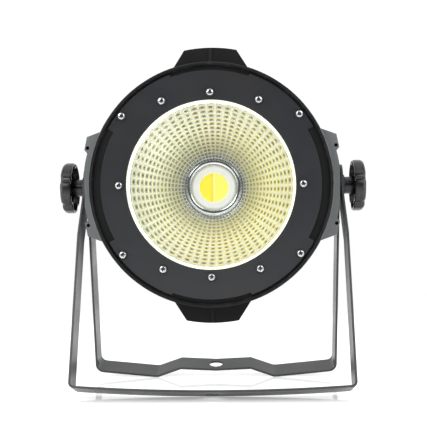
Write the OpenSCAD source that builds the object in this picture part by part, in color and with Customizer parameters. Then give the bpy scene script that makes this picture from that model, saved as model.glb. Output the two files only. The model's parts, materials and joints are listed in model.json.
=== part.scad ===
// Par can light with one large LED, on a double yoke that hangs it or stands it on the floor.
// X runs across the knobs, the lamp faces -Y, +Z is up, and the floor is z = 0.

/* [Head] */
// Outside diameter of the front rim
rim_d = 212; // [206:1:260]
// From the front of the rim back to the tilt axis
rim_front = 60; // [54:1:74]
// Wall of the two cast housings
wall = 3; // [2.5:0.1:3.6]
// How far the rim stands in front of the plate
plate_recess = 3; // [3:0.5:5]
// Thickness of the front plate
plate_t = 2; // [1.5:0.1:2.5]

/* [Light opening] */
// Clear diameter of the light opening
opening_d = 147; // [110:1:150]
// Thickness of the lens glass
glass_t = 3; // [2:0.5:4]
// Depth of the reflector bowl
reflector_depth = 78; // [60:1:96]
// Inside diameter of the reflector's throat
throat_d = 57; // [48:0.2:62]
// Diameter of the light-emitting disc
les_d = 28; // [18:1:30]

/* [Cooling] */
// Height of the heatsink's fins
fin_h = 26; // [16:1:40]
// Side of the square fan
fan_w = 80; // [60:5:80]
// Thickness of the fan
fan_t = 15; // [15:1:25]

/* [Yoke] */
// From the tilt axis to the middle of the outer yoke's bar
arm_outer = 190; // [176:1:230]
// Width of the steel strip
strip_w = 25; // [20:1:30]
// Thickness of the steel strip
strip_t = 2; // [1.5:0.1:3]
// Forward lean of the outer yoke when it stands on the floor
front_lean = 20.3; // [10:0.1:24]
// Diameter of the clamp hole in each bar
clamp_hole_d = 13; // [10.5:0.5:13]
// Drop of the outer bar's middle below its ends
bar_bow = 4; // [0:0.5:6]
// How far each arm of the outer yoke steps out below the pivots
arm_step = 2.4; // [0:0.2:4]

/* [Knobs] */
// Outside diameter of the star head
knob_d = 47.4; // [40:0.2:60]
// Thickness of the star head
knob_t = 10.5; // [8:0.5:18]
// Diameter of the hub under the star head
hub_d = 15.8; // [14:0.2:20]
// Length of the hub
hub_l = 7.6; // [5:0.1:12]
// Diameter of the threaded stud
stud_d = 8; // [8:1:10]

/* [Hidden] */

// Fits
slip = 0.05;      // running fit of the stud in its bush, and of screws in their holes
gap = 0.05;       // between faces that slide on each other
seat_gap = 0.5;   // round the glass in its pocket
stud_room = 0.6;  // round the stud in the yokes and washers, on the diameter

// Radii of the head
rim_r = rim_d / 2;
rim_in_r = rim_r - 2.8;
plate_r = rim_in_r - 1.4;
body_r = rim_r - 1.5;
opening_r = opening_d / 2;
glass_r = opening_r + 3;
pocket_r = glass_r + seat_gap;
ledge_r = opening_r + 1.6;
throat_r = throat_d / 2;
rear_r = rim_r - 13;

// Stations along the lamp's axis, from the tilt axis, front to back
y_front = -rim_front;
y_plate = y_front + plate_recess;
y_seat = y_plate + plate_t;
y_gasket = y_seat + glass_t;
gasket_t = 1;
foil_t = 0.8;
y_flange = y_gasket + gasket_t;
y_bowl = y_flange + foil_t;
shelf_t = 3;
y_shelf = y_bowl + shelf_t;
y_split = -18;
lug_t = 20;
rear_lug_t = 12;
y_throat = y_bowl + reflector_depth;
core_t = 2;
y_core = y_throat + 3;
y_base = y_core + core_t;
base_t = 6;
y_fins = y_base + base_t;
fan_gap = 4.5;
y_fan = y_fins + fin_h + fan_gap;
y_cover = y_fan + fan_t;
cover_t = 1.5;
y_panel = y_cover + cover_t;
panel_guard = 6;
y_back = y_panel + panel_guard;
y_cone = y_base - 3;

// Lugs that join the two housings
side_lug_r = rim_r + 8.5;
lug_face_x = rim_r + 7.3;
ear_corner = [rim_r + 13.2, 21.8];
ear_tip = [rim_r + 11.7, 16.1];
ear_notch = [rim_r + 8.1, 14.9];
ear_root = [rim_r - 5, 32];
ear_hole = [rim_r + 9.4, 17.35];
ear_hole_d = 3.3;
top_lug_r = rim_r + 16;
top_lug_w = 43.6;
lug_slope = 0.63;
lug_root = 8;
rib_r = 1.5;
lug_bolt_r = rim_r + 8.5;
screw4_d = 4;
screw3_d = 3;

// Screws that hold the plate: three rings, because they dodge the lugs and the glass
ring_near = opening_r + 6.3;
ring_mid = opening_r + 10.5;
ring_far = rim_r - 8.5;
PLATE_SCREWS = concat(
  [for (a = [0 : 90 : 270]) [ring_near, a]],
  [for (a = [60, 120, 240, 300]) [ring_mid, a]],
  [for (a = [38, 142, 218, 322]) [ring_far, a]]
);
plate_head_d = 8;
plate_head_h = 2.3;

// Cut-backs of the plate's edge at the side and top lugs: radius, half angle
side_relief = [plate_r - 6, 29];
top_relief = [plate_r - 2.6, 20];

// Pivot stack along X, from the lug's face outwards
washer_t = 1.2;
inner_in_x = lug_face_x + washer_t;
inner_mid_x = inner_in_x + strip_t / 2;
outer_in_x = inner_in_x + strip_t + washer_t;
outer_mid_x = outer_in_x + strip_t / 2;
knob_seat_x = outer_in_x + strip_t + gap;
knob_washer_t = 1.5;
hub_x = knob_seat_x + knob_washer_t;
star_x = hub_x + hub_l;
knob_lobes = 5;
knob_turn = 15;
notch_at = 0.56;
notch_r = 0.125;
boss_in_x = rim_r - 12;
boss_r = 13;
bush_r = 6;
stud_in_x = boss_in_x + 1;
washer_r = 12.5;

// Yokes
yoke_nest = 5.5;
arm_inner = arm_outer - yoke_nest;
arm_end = 20;
step_z = [-14, -50];
outer_foot_x = outer_mid_x + arm_step;
bend_outer = 4;
bend_inner = 7;
foot_x = [60, 56];
hat_x = 34;
hat_rise = 8;
hat_dip = 1.7;
corner_rise = 5;
bow_steps = 8;
bend_steps = 6;
yoke_hole_d = stud_d + stud_room;
outer_reach = arm_outer + strip_t / 2;
inner_reach = arm_inner + strip_t / 2;
pivot_z = outer_reach * cos(front_lean) + strip_w / 2 * sin(front_lean);
inner_diag = norm([inner_reach, strip_w / 2]);
rear_lean = acos(pivot_z / inner_diag) + atan2(strip_w / 2, inner_reach);
front_extent = outer_reach * sin(front_lean) + strip_w / 2 * cos(front_lean);
pivot_y = (front_extent - y_back) / 2;

// Rear panel
ledge_in_r = rear_r - 10;
cover_r = rear_r - 3;
panel_screw_r = rear_r - 6.4;
panel_screws = 6;
fan_hole_pitch = fan_w - 8.5;
fan_bore = fan_w - 4;
dmx_x = fan_w / 2 + 22;
dmx_w = 26;
dmx_h = 31;
dmx_bolt = [19, 24];
dmx_shell_r = 12;
dmx_depth = 22;
latch_w = 5.8;
latch_h = 3.2;
latch_z = dmx_shell_r - latch_h - 0.3;
flange_t = 2;
mains_x = 17.5;
mains_z = -fan_w / 2 - 5;
mains_w = 31;
inlet_h = 33;
outlet_h = 25;
mains_body_w = 27;
mains_depth = 24;
display_w = 46;
display_h = 18;
display_z = fan_w / 2 + 26;
key_z = fan_w / 2 + 9.5;
key_pitch = 13;
key_d = 6.6;
key_room = 0.4;
key_travel = 0.8;
key_stand = 2.4;
pcb_t = 1.6;
y_pcb = y_cover - 6.5;
y_eye = y_cover - 20;
eye_half_w = 11;
eye_rod_r = 2.5;

// Inside the head
core_r = rim_r - 14;
core_post_r = rim_r - 18;
core_post_angles = [45 : 90 : 315];
fins = 15;
fin_t = 2;
fin_w = fan_w;
base_r = 60;
board_t = 1.2;
phosphor_t = 0.8;
split_w = 0.9;
ring_out_r = throat_r + 3.5;
core_hole_r = ring_out_r + 4;
frame_r = throat_r * 0.726;
bead_r = (frame_r + throat_r) / 2;
bead_w = throat_r - frame_r - 0.8;
bead_h = 2.2;
led_bolt_r = (les_d / 2 + frame_r) / 2;
sink_bolt_r = 50;
tray_t = 1.5;
tray_w = 110;
tray_front = -28;
tray_room = 1;
tray_lip = 12;
tray_z = -bowl_r((y_throat + foil_t - tray_front) / reflector_depth) - tray_room;
post_h = 1.5;
post_x = 48;
post_y = 22;
driver_z = tray_z - tray_t - post_h;
driver_w = 106;
driver_front = -26;
driver_back = 26;

eps = 0.01;
big = 600;
$fn = 64;

// ---------- Helpers ----------

// Puts what is drawn about the tilt axis in its place over the floor
module head_frame() {
  translate([0, pivot_y, pivot_z]) children();
}

// Turns a (radius, y) outline about the lamp's axis
module turned(fn = 120) {
  rotate([-90, 0, 0]) rotate_extrude($fn = fn) children();
}

// Extrudes an (x, z) outline backwards from y
module slab(y, t) {
  translate([0, y + t, 0]) rotate([90, 0, 0]) linear_extrude(t) children();
}

// Round bar along +Y from y
module rod_y(x, y, z, len, r, fn = 32) {
  translate([x, y, z]) rotate([-90, 0, 0]) cylinder(h = len, r = r, $fn = fn);
}

// Round bar along X from x
module rod_x(x, len, r, fn = 48) {
  translate([x, 0, 0]) rotate([0, 90, 0]) cylinder(h = len, r = r, $fn = fn);
}

// Ring along X from x
module washer_x(x, t, r, hole_r) {
  difference() {
    rod_x(x, t, r);
    rod_x(x - 1, t + 2, hole_r);
  }
}

// A pair, one on each side
module both_sides() {
  children();
  mirror([1, 0, 0]) children();
}

// Rectangle with round corners
module round_rect(w, h, r) {
  for (x = [-1, 1], z = [-1, 1]) {
    translate([x * (w / 2 - r), z * (h / 2 - r)]) circle(r = r, $fn = 32);
  }
  square([w - 2 * r, h], center = true);
  square([w, h - 2 * r], center = true);
}

// Cross-recess pan screw along Y with its head towards -Y; y is the head's seat
module pan_screw(x, y, z, d, head_d, head_h, len) {
  translate([x, y, z]) {
    difference() {
      rotate([-90, 0, 0]) rotate_extrude($fn = 32) {
        polygon([
          [0, -head_h],
          [head_d * 0.28, -head_h],
          [head_d * 0.43, -head_h * 0.62],
          [head_d / 2, -head_h * 0.2],
          [head_d / 2, 0],
          [d / 2, 0],
          [d / 2, len],
          [0, len]
        ]);
      }
      for (a = [0, 90]) {
        rotate([0, a, 0]) {
          translate([0, -head_h + 0.45, 0]) cube([head_d * 0.5, 1.4, d * 0.22], center = true);
        }
      }
    }
  }
}

// The same screw with its head towards +Y
module rear_screw(x, y, z, d, head_d, head_h, len) {
  translate([0, y, 0]) mirror([0, 1, 0]) translate([0, -y, 0]) {
    pan_screw(x, y, z, d, head_d, head_h, len);
  }
}

function polar(p) = [p[0] * cos(p[1]), p[0] * sin(p[1])];
function reversed(p) = [for (i = [len(p) - 1 : -1 : 0]) p[i]];
function flipped(p) = [for (q = p) [-q[0], q[1]]];
function unit(v) = v / norm(v);

// Outward step at point i of a path, mitred between its two neighbours
function miter(p, i) =
  let (
    last = len(p) - 1,
    a = unit(p[max(i, 1)] - p[max(i, 1) - 1]),
    b = unit(p[min(i, last - 1) + 1] - p[min(i, last - 1)]),
    n = unit(a + b)
  ) [n[1], -n[0]] / (n * a);
function shifted(p, d) = [for (i = [0 : len(p) - 1]) p[i] + d * miter(p, i)];
function strip_outline(p, t) = concat(shifted(p, t / 2), reversed(shifted(p, -t / 2)));

// Quarter bend from an arm at x into a bar at depth z
function bend(x, z, r) = [
  for (i = [0 : bend_steps])
    let (a = 90 * i / bend_steps) [x - r + r * cos(a), -z + r - r * sin(a)]
];
function whole(half) = concat(half, reversed(flipped([for (i = [0 : len(half) - 2]) half[i]])));

// ---------- Yokes ----------

function outer_half() = concat(
  [[outer_mid_x, arm_end], [outer_mid_x, step_z[0]], [outer_foot_x, step_z[1]]],
  bend(outer_foot_x, arm_outer - bar_bow, bend_outer),
  [
    for (i = [1 : bow_steps])
      let (k = 1 - i / bow_steps) [(outer_foot_x - bend_outer) * k, bar_bow * k * k - arm_outer]
  ]
);
function inner_half() = concat(
  [[inner_mid_x, arm_end]],
  bend(inner_mid_x, arm_inner - corner_rise, bend_inner),
  [
    [foot_x[0], -arm_inner],
    [foot_x[1], -arm_inner],
    [hat_x, hat_rise - arm_inner],
    [0, hat_rise - hat_dip - arm_inner]
  ]
);

module yoke(half, lean) {
  head_frame() rotate([lean, 0, 0]) difference() {
    intersection() {
      rotate([90, 0, 0]) linear_extrude(strip_w, center = true) {
        polygon(strip_outline(whole(half), strip_t));
      }
      union() {
        translate([-big / 2, -strip_w / 2 - 1, arm_end - strip_w / 2 - big]) {
          cube([big, strip_w + 2, big]);
        }
        translate([0, 0, arm_end - strip_w / 2]) rod_x(-big / 2, big, strip_w / 2);
      }
    }
    rod_x(-big / 2, big, yoke_hole_d / 2);
    translate([0, 0, -arm_outer - 20]) cylinder(h = 40, r = clamp_hole_d / 2);
  }
}

module outer_yoke() color("#2b2c2e") yoke(outer_half(), -front_lean);
module inner_yoke() color("#2b2c2e") yoke(inner_half(), rear_lean);

module yoke_washers() color("#1c1c1c") head_frame() both_sides() {
  washer_x(outer_in_x - washer_t + gap, washer_t - 2 * gap, washer_r, yoke_hole_d / 2);
}
module head_washers() color("#1c1c1c") head_frame() both_sides() {
  washer_x(lug_face_x, washer_t - gap, washer_r, yoke_hole_d / 2);
}
module pivot_bushes() color("#b08d43") head_frame() both_sides() {
  washer_x(boss_in_x, lug_face_x - boss_in_x - 0.5, bush_r, stud_d / 2 + slip);
}

// ---------- Knobs ----------

module star_outline() {
  difference() {
    circle(d = knob_d, $fn = 96);
    for (i = [0 : knob_lobes - 1]) {
      rotate(360 * i / knob_lobes + knob_turn) translate([knob_d * notch_at, 0]) {
        circle(r = knob_d * notch_r);
      }
    }
  }
}
module knob_body() {
  head_frame() {
    difference() {
      union() {
        rod_x(hub_x, hub_l, hub_d / 2);
        translate([star_x, 0, 0]) rotate([90, 0, 90]) linear_extrude(knob_t) star_outline();
      }
      rod_x(hub_x - 1, hub_l + knob_t * 0.6 + 1, stud_d / 2 + slip);
    }
  }
}
module knob_stud() {
  head_frame() rod_x(stud_in_x, hub_x + hub_l + knob_t * 0.6 - stud_in_x, stud_d / 2);
}
module knob_washer() {
  head_frame() washer_x(knob_seat_x, knob_washer_t, 10, yoke_hole_d / 2);
}
module knob_right() color("#141415") knob_body();
module knob_left() color("#141415") mirror([1, 0, 0]) knob_body();
module knob_right_stud() color("#c9cacb") knob_stud();
module knob_left_stud() color("#c9cacb") mirror([1, 0, 0]) knob_stud();
module knob_right_washer() color("#c9cacb") knob_washer();
module knob_left_washer() color("#c9cacb") mirror([1, 0, 0]) knob_washer();

// ---------- Housings ----------

// Ear and bulge of the right side lug, in (x, z)
module side_lug_outline() {
  intersection() {
    union() {
      intersection() {
        circle(r = side_lug_r, $fn = 180);
        polygon([[0, 0], polar([rim_r * 1.3, 15.5]), polar([rim_r * 1.3, -15.5])]);
      }
      for (m = [0, 1]) {
        mirror([0, m]) polygon([
          polar(ear_root),
          polar(ear_corner),
          polar(ear_tip),
          polar(ear_notch),
          polar([ear_root[0], ear_notch[1]])
        ]);
      }
    }
    translate([0, -rim_r]) square([lug_face_x, rim_d]);
  }
}
// Lug at the top, in (x, z)
module top_lug_outline() {
  half_top = top_lug_w / 2;
  half_root = half_top + lug_slope * (top_lug_r - rim_r + lug_root);
  intersection() {
    circle(r = top_lug_r, $fn = 180);
    polygon([
      [-half_root, rim_r - lug_root],
      [-half_top, top_lug_r],
      [half_top, top_lug_r],
      [half_root, rim_r - lug_root]
    ]);
  }
}
module lug_outlines() {
  difference() {
    union() {
      side_lug_outline();
      mirror([1, 0]) side_lug_outline();
      top_lug_outline();
      mirror([0, 1]) top_lug_outline();
    }
    circle(r = body_r - wall, $fn = 180);
  }
}

module ear_places() {
  for (x = [-1, 1], z = [-1, 1]) {
    translate([x * polar(ear_hole)[0], 0, z * polar(ear_hole)[1]]) children();
  }
}
module top_lug_places() {
  for (z = [-1, 1]) {
    translate([0, 0, z * lug_bolt_r]) children();
  }
}

module front_housing() color("#222325") head_frame() {
  difference() {
    union() {
      turned() polygon([
        [pocket_r, y_seat],
        [rim_in_r, y_seat],
        [rim_in_r, y_front + 1],
        [rim_in_r + 0.9, y_front],
        [rim_r - 0.9, y_front],
        [rim_r, y_front + 1],
        [rim_r, y_front + 12],
        [body_r, y_front + 14],
        [body_r, y_split],
        [body_r - wall, y_split],
        [body_r - wall, y_shelf],
        [ledge_r, y_shelf],
        [ledge_r, y_bowl],
        [pocket_r, y_bowl]
      ]);
      slab(y_split - lug_t, lug_t) lug_outlines();
      for (m = [0, 1]) {
        mirror([0, 0, m]) intersection() {
          translate([0, y_split - lug_t, body_r - 1]) {
            cylinder(h = top_lug_r - body_r, r = rib_r, $fn = 24);
          }
          translate([-5, y_split - lug_t - 5, 0]) cube([10, 5 + eps, big]);
        }
      }
    }
    for (s = PLATE_SCREWS) {
      rod_y(polar(s)[0], y_seat - 1, polar(s)[1], 20, screw4_d / 2 + slip);
    }
    ear_places() rod_y(0, y_split - lug_t - 5, 0, lug_t + 10, ear_hole_d / 2);
    top_lug_places() rod_y(0, y_split - 12, 0, 20, ear_hole_d / 2);
    for (a = core_post_angles) {
      rod_y(core_post_r * cos(a), y_shelf - 2.5, core_post_r * sin(a), 10, screw3_d / 2 + slip);
    }
  }
}

module rear_housing() color("#222325") head_frame() {
  cone = (rear_r - body_r) / (y_back - panel_guard - y_cone);
  difference() {
    union() {
      turned() polygon([
        [body_r, y_split + eps],
        [body_r, y_cone],
        [rear_r, y_back - panel_guard],
        [rear_r, y_back],
        [rear_r - 2.5, y_back],
        [rear_r - 2.5, y_cover],
        [ledge_in_r, y_cover],
        [ledge_in_r, y_cover - 2.5],
        [rear_r - 2.8 - cone * 2.5, y_cover - 4],
        [body_r - wall, y_cone - 1],
        [body_r - wall, y_split + eps]
      ]);
      slab(y_split + eps, rear_lug_t) lug_outlines();
      both_sides() {
        intersection() {
          slab(y_split + eps, 18 - y_split) difference() {
            side_lug_outline();
            circle(r = body_r - wall, $fn = 180);
          }
          rod_x(0, rim_r * 2, 20, 96);
        }
        rod_x(boss_in_x, lug_face_x - boss_in_x, boss_r);
      }
    }
    both_sides() rod_x(boss_in_x - 1, rim_r, bush_r + slip);
    ear_places() rod_y(0, y_split - 1, 0, 20, ear_hole_d / 2 + 0.5);
    top_lug_places() rod_y(0, y_split - 1, 0, 20, ear_hole_d / 2 + 0.5);
    for (i = [0 : 35]) {
      a = i * 10 + 5;
      if (a % 90 > 10 && a % 90 < 80) {
        rotate([0, a, 0]) translate([rear_r - 8, y_cone + 8, -2.6]) {
          cube([30, y_cover - 10 - y_cone - 8, 5.2]);
        }
      }
    }
    for (x = [-1, 1]) {
      translate([x * eye_half_w, y_eye, 0]) cylinder(h = rim_r * 1.2, r = eye_rod_r + slip);
    }
    for (i = [0 : panel_screws - 1]) {
      rotate([0, 60 * i + 30, 0]) rod_y(panel_screw_r, y_cover - 10, 0, 20, screw3_d / 2 + slip);
    }
  }
}

module lug_screws() color("#2a2a2b") head_frame() {
  ear_places() rear_screw(0, y_split + rear_lug_t + eps, 0, ear_hole_d - 0.1, 6.4, 2.2, 22);
  top_lug_places() rear_screw(0, y_split + rear_lug_t + eps, 0, ear_hole_d - 0.1, 6.4, 2.2, 22);
}

// ---------- Front ----------

// Wedge of the (x, z) plane about angle a
module sector(a, half) {
  polygon([[0, 0], polar([big, a - half]), polar([big, a + half])]);
}
// Shallow crescents by which the plate's edge stays clear of the four lugs
module plate_reliefs() {
  for (a = [0, 180]) {
    difference() {
      sector(a, side_relief[1]);
      circle(r = side_relief[0], $fn = 180);
    }
  }
  for (a = [90, 270]) {
    difference() {
      sector(a, top_relief[1]);
      circle(r = top_relief[0], $fn = 180);
    }
  }
}
module front_plate() color("#35383b") head_frame() {
  difference() {
    turned() polygon([
      [opening_r, y_plate],
      [plate_r - 0.6, y_plate],
      [plate_r, y_plate + 0.6],
      [plate_r, y_seat],
      [opening_r, y_seat]
    ]);
    for (s = PLATE_SCREWS) {
      rod_y(polar(s)[0], y_plate - 1, polar(s)[1], plate_t + 2, screw4_d / 2 + 0.2);
    }
    slab(y_plate - 1, plate_t + 2) plate_reliefs();
  }
}
module plate_screws() color("#8f9194") head_frame() {
  for (s = PLATE_SCREWS) {
    pan_screw(polar(s)[0], y_plate, polar(s)[1], screw4_d, plate_head_d, plate_head_h, 9);
  }
}
module lens_glass() color([0.85, 0.92, 0.95, 0.3]) head_frame() {
  rod_y(0, y_seat, 0, glass_t, glass_r, 120);
}
module lens_gasket() color("#dfe2e0") head_frame() {
  turned() translate([ledge_r, y_gasket]) square([glass_r - ledge_r, gasket_t]);
}

// Inside radius of the bowl, from k = 0 at the throat to k = 1 at the flange
function bowl_r(k) = sqrt(pow(throat_r, 2) + (pow(opening_r + 0.3, 2) - pow(throat_r, 2)) * k);
function bowl_at(k) = [bowl_r(k), y_throat - reflector_depth * k];
module reflector() color("#d9dbd6") head_frame() {
  bands = 14;
  turned() polygon(concat(
    [for (i = [0 : bands]) bowl_at(pow(i / bands, 1.4))],
    [[opening_r + 0.3, y_flange], [glass_r, y_flange], [glass_r, y_bowl]],
    [for (i = [bands : -1 : 0]) bowl_at(pow(i / bands, 1.4)) + [foil_t, 0]]
  ));
}

// ---------- Light source and cooling ----------

module throat_ring() color("#c4c7c8") head_frame() {
  turned() polygon([
    [ring_out_r, y_throat + 0.2],
    [ring_out_r, y_base],
    [frame_r + 0.1, y_base],
    for (a = [0 : 15 : 180]) [bead_r - bead_w / 2 * cos(a), y_throat + 0.8 - bead_h * sin(a)]
  ]);
}
module led_frame() color("#f2f1ea") head_frame() {
  turned() polygon([
    [les_d / 2 + 0.2, y_base - board_t - 1],
    [frame_r - 1, y_base - board_t - 1.6],
    [frame_r, y_base - board_t - 1.2],
    [frame_r, y_base - board_t],
    [les_d / 2 + 0.2, y_base - board_t]
  ]);
}
module led_board() color("#e9e9e4") head_frame() {
  difference() {
    slab(y_base - board_t, board_t) circle(r = frame_r, $fn = 96);
    for (a = [45, 225]) {
      rod_y(led_bolt_r * cos(a), y_base - 3, led_bolt_r * sin(a), 5, 1.05);
    }
  }
}
module half_disc(side) {
  head_frame() slab(y_base - board_t - phosphor_t, phosphor_t) intersection() {
    circle(d = les_d, $fn = 96);
    translate([side < 0 ? -les_d : split_w / 2, -les_d]) square([les_d - split_w / 2, 2 * les_d]);
  }
}
module phosphor_warm() color("#e8b93a") half_disc(-1);
module phosphor_cool() color("#ecd95f") half_disc(1);
module led_screws() color("#b9babb") head_frame() {
  for (a = [45, 225]) {
    rod_y(led_bolt_r * cos(a), y_base - board_t, led_bolt_r * sin(a), 5, 1);
  }
}

module core_plate() color("#b5b8ba") head_frame() {
  difference() {
    slab(y_core, core_t) difference() {
      circle(r = core_r, $fn = 120);
      circle(r = core_hole_r, $fn = 96);
      for (a = [0 : 90 : 270]) {
        rotate(a) translate([core_r - 8, 0]) square([24, 30], center = true);
      }
      for (a = core_post_angles) {
        translate([core_post_r * cos(a), core_post_r * sin(a)]) circle(r = 1.7, $fn = 24);
      }
      for (a = core_post_angles) {
        translate([sink_bolt_r * cos(a), sink_bolt_r * sin(a)]) circle(r = 1.7, $fn = 24);
      }
    }
  }
}
module core_posts() color("#c2c4c6") head_frame() {
  for (a = core_post_angles) {
    translate([core_post_r * cos(a), 0, core_post_r * sin(a)]) difference() {
      union() {
        rod_y(0, y_shelf, 0, y_core - y_shelf, 3.6);
        rod_y(0, y_shelf - 2.4, 0, 3, screw3_d / 2);
      }
      rod_y(0, y_core - 10, 0, 20, screw3_d / 2 + slip);
    }
  }
}
module core_screws() color("#b9babb") head_frame() {
  for (a = core_post_angles) {
    rear_screw(core_post_r * cos(a), y_base, core_post_r * sin(a), screw3_d, 5.6, 2, 9);
  }
}
module heatsink() color("#a9acae") head_frame() {
  difference() {
    union() {
      rod_y(0, y_base, 0, base_t, base_r, 96);
      for (i = [0 : fins - 1]) {
        x = (i / (fins - 1) - 0.5) * (fin_w - fin_t) - fin_t / 2;
        translate([x, y_fins - eps, -fin_w / 2]) cube([fin_t, fin_h + eps, fin_w]);
      }
    }
    for (a = core_post_angles) {
      rod_y(sink_bolt_r * cos(a), y_base - 1, sink_bolt_r * sin(a), 6, screw3_d / 2 + slip);
    }
    for (a = [45, 225]) {
      rod_y(led_bolt_r * cos(a), y_base - 1, led_bolt_r * sin(a), 6, 1.05);
    }
  }
}
module heatsink_screws() color("#b9babb") head_frame() {
  for (a = core_post_angles) {
    pan_screw(sink_bolt_r * cos(a), y_core, sink_bolt_r * sin(a), screw3_d, 5.6, 2, 6.5);
  }
}

module fan_corners() {
  for (x = [-1, 1], z = [-1, 1]) {
    translate([x * fan_hole_pitch / 2, 0, z * fan_hole_pitch / 2]) children();
  }
}
module fan_frame() color("#1b1b1c") head_frame() {
  difference() {
    slab(y_fan, fan_t) round_rect(fan_w, fan_w, 5);
    rod_y(0, y_fan - 1, 0, fan_t - 1.5, fan_bore / 2, 96);
    slab(y_fan + fan_t - 3, 4) difference() {
      circle(d = fan_bore, $fn = 96);
      circle(r = 18.5, $fn = 64);
      for (a = [45 : 90 : 315]) {
        rotate(a) translate([0, -2.5]) square([fan_bore, 5]);
      }
    }
    fan_corners() rod_y(0, y_fan - 1, 0, fan_t + 2, 2.15);
    rod_y(0, y_fan - 1, 0, fan_t, 2);
  }
}
module fan_rotor() color("#242425") head_frame() {
  rotor_t = fan_t - 4.2;
  rod_y(0, y_fan + 0.8, 0, rotor_t, 17, 64);
  rod_y(0, y_fan + 5, 0, fan_t - 6, 2 - slip, 32);
  intersection() {
    rod_y(0, y_fan + 0.8, 0, rotor_t, fan_bore / 2 - 2, 96);
    for (i = [0 : 6]) {
      rotate([0, i * 360 / 7, 0]) translate([16, y_fan + 0.8 + rotor_t / 2, 0]) {
        rotate([38, 0, 0]) translate([0, -0.6, -9]) cube([fan_bore / 2, 1.2, 18]);
      }
    }
  }
}
module fan_guard() color("#9a9c9e") head_frame() {
  wire = 1.8;
  slab(y_panel + 1.2, wire) {
    for (r = [11 : 7 : fan_w / 2 - 1]) {
      difference() {
        circle(r = r + wire / 2, $fn = 96);
        circle(r = r - wire / 2, $fn = 96);
      }
    }
    for (a = [45 : 90 : 315]) {
      rotate(a) translate([10, -wire / 2]) square([fan_hole_pitch / sqrt(2) - 13, wire]);
    }
  }
  fan_corners() difference() {
    rod_y(0, y_panel, 0, 3, 4.2);
    rod_y(0, y_panel - 1, 0, 5, 2.1);
  }
}
module fan_screws() color("#b9babb") head_frame() {
  fan_corners() rear_screw(0, y_panel + 3, 0, 4, 7, 2.2, 14);
}

// ---------- Driver ----------

module driver_tray() color("#b5b8ba") head_frame() {
  translate([-tray_w / 2, tray_front, tray_z - tray_t]) {
    cube([tray_w, y_core - tray_front, tray_t]);
  }
  translate([-tray_w / 2, y_core - tray_t, tray_z - tray_t - tray_lip]) {
    cube([tray_w, tray_t, tray_lip + eps]);
  }
  for (x = [-post_x, post_x], y = [-post_y, post_y]) {
    translate([x, y, driver_z]) cylinder(h = post_h + eps, r = 3, $fn = 24);
  }
}
module driver_board() color("#23553a") head_frame() {
  translate([-driver_w / 2, driver_front, driver_z - pcb_t]) {
    cube([driver_w, driver_back - driver_front, pcb_t]);
  }
}
module transformer() color("#4b463c") head_frame() {
  translate([-18, -16, driver_z - pcb_t - 18]) cube([30, 32, 18]);
}
module capacitors() color("#2f3a52") head_frame() {
  for (p = [[24, -14], [24, 10], [-36, 0]]) {
    translate([p[0], p[1], driver_z - pcb_t - 15]) cylinder(h = 15, r = 7, $fn = 48);
  }
}

// ---------- Rear panel ----------

module mains_outline(h, inset) {
  translate([0, mains_z - h / 2]) round_rect(mains_body_w - inset, h - 4 - inset, 1.5);
}
module key_places() {
  for (i = [0 : 3]) {
    translate([(i - 1.5) * key_pitch, 0, key_z]) children();
  }
}
module rear_cover() color("#1f2022") head_frame() {
  difference() {
    slab(y_cover, cover_t) difference() {
      circle(r = cover_r, $fn = 120);
      circle(d = fan_bore, $fn = 96);
      translate([0, display_z]) square([display_w - 3, display_h - 3], center = true);
      for (x = [-1, 1]) {
        translate([x * dmx_x, 0]) circle(r = dmx_shell_r + 0.2, $fn = 64);
        for (s = [-1, 1]) {
          translate([x * dmx_x + s * dmx_bolt[0] / 2, s * dmx_bolt[1] / 2]) {
            circle(r = 1.6, $fn = 24);
          }
        }
      }
      translate([-mains_x, 0]) mains_outline(inlet_h, -0.4);
      translate([mains_x, 0]) mains_outline(outlet_h, -0.4);
    }
    fan_corners() rod_y(0, y_cover - 1, 0, 5, 2.15);
    key_places() rod_y(0, y_cover - 1, 0, 5, (key_d + key_room) / 2);
    for (i = [0 : panel_screws - 1]) {
      rotate([0, 60 * i + 30, 0]) rod_y(panel_screw_r, y_cover - 1, 0, 5, 1.7);
    }
  }
}
module cover_screws() color("#8f9194") head_frame() {
  for (i = [0 : panel_screws - 1]) {
    rotate([0, 60 * i + 30, 0]) rear_screw(panel_screw_r, y_panel, 0, screw3_d, 5, 1.8, 6);
  }
}

module safety_eye() color("#c9cacb") head_frame() {
  foot = rear_r - 4;
  leg = 16;
  translate([0, y_eye, foot]) {
    for (x = [-1, 1]) {
      translate([x * eye_half_w, 0, 0]) cylinder(h = leg, r = eye_rod_r, $fn = 32);
    }
    translate([0, 0, leg]) rotate([90, 0, 0]) rotate_extrude(angle = 180, $fn = 64) {
      translate([eye_half_w, 0]) circle(r = eye_rod_r, $fn = 32);
    }
  }
}

module control_board() color("#23553a") head_frame() {
  translate([-36, y_pcb - pcb_t, key_z - 6]) cube([72, pcb_t, display_z + 11 - key_z + 6]);
}
module display_module() color("#1a1a1a") head_frame() {
  translate([-display_w / 2 + 2, y_pcb, display_z - display_h / 2 + 2]) {
    cube([display_w - 4, y_cover - y_pcb - 0.3, display_h - 4]);
  }
}
module display_window() color([0.25, 0.05, 0.05, 0.8]) head_frame() {
  slab(y_panel, 1) translate([0, display_z]) round_rect(display_w, display_h, 1.5);
  slab(y_cover, cover_t + eps) translate([0, display_z]) {
    square([display_w - 3.4, display_h - 3.4], center = true);
  }
}
module key_switches() color("#c9cacb") head_frame() {
  key_places() translate([-3, y_pcb, -3]) cube([6, 3.2, 6]);
}
module key_cap(i) {
  head_frame() translate([(i - 1.5) * key_pitch, 0, key_z]) {
    foot = y_pcb + 3.2 + key_travel + 0.1;
    rod_y(0, foot, 0, y_panel + key_stand - foot, key_d / 2, 48);
    rod_y(0, y_cover - 1.5, 0, 1.1, key_d / 2 + 1, 48);
  }
}
module button_menu() color("#d6d7d8") key_cap(0);
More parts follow.
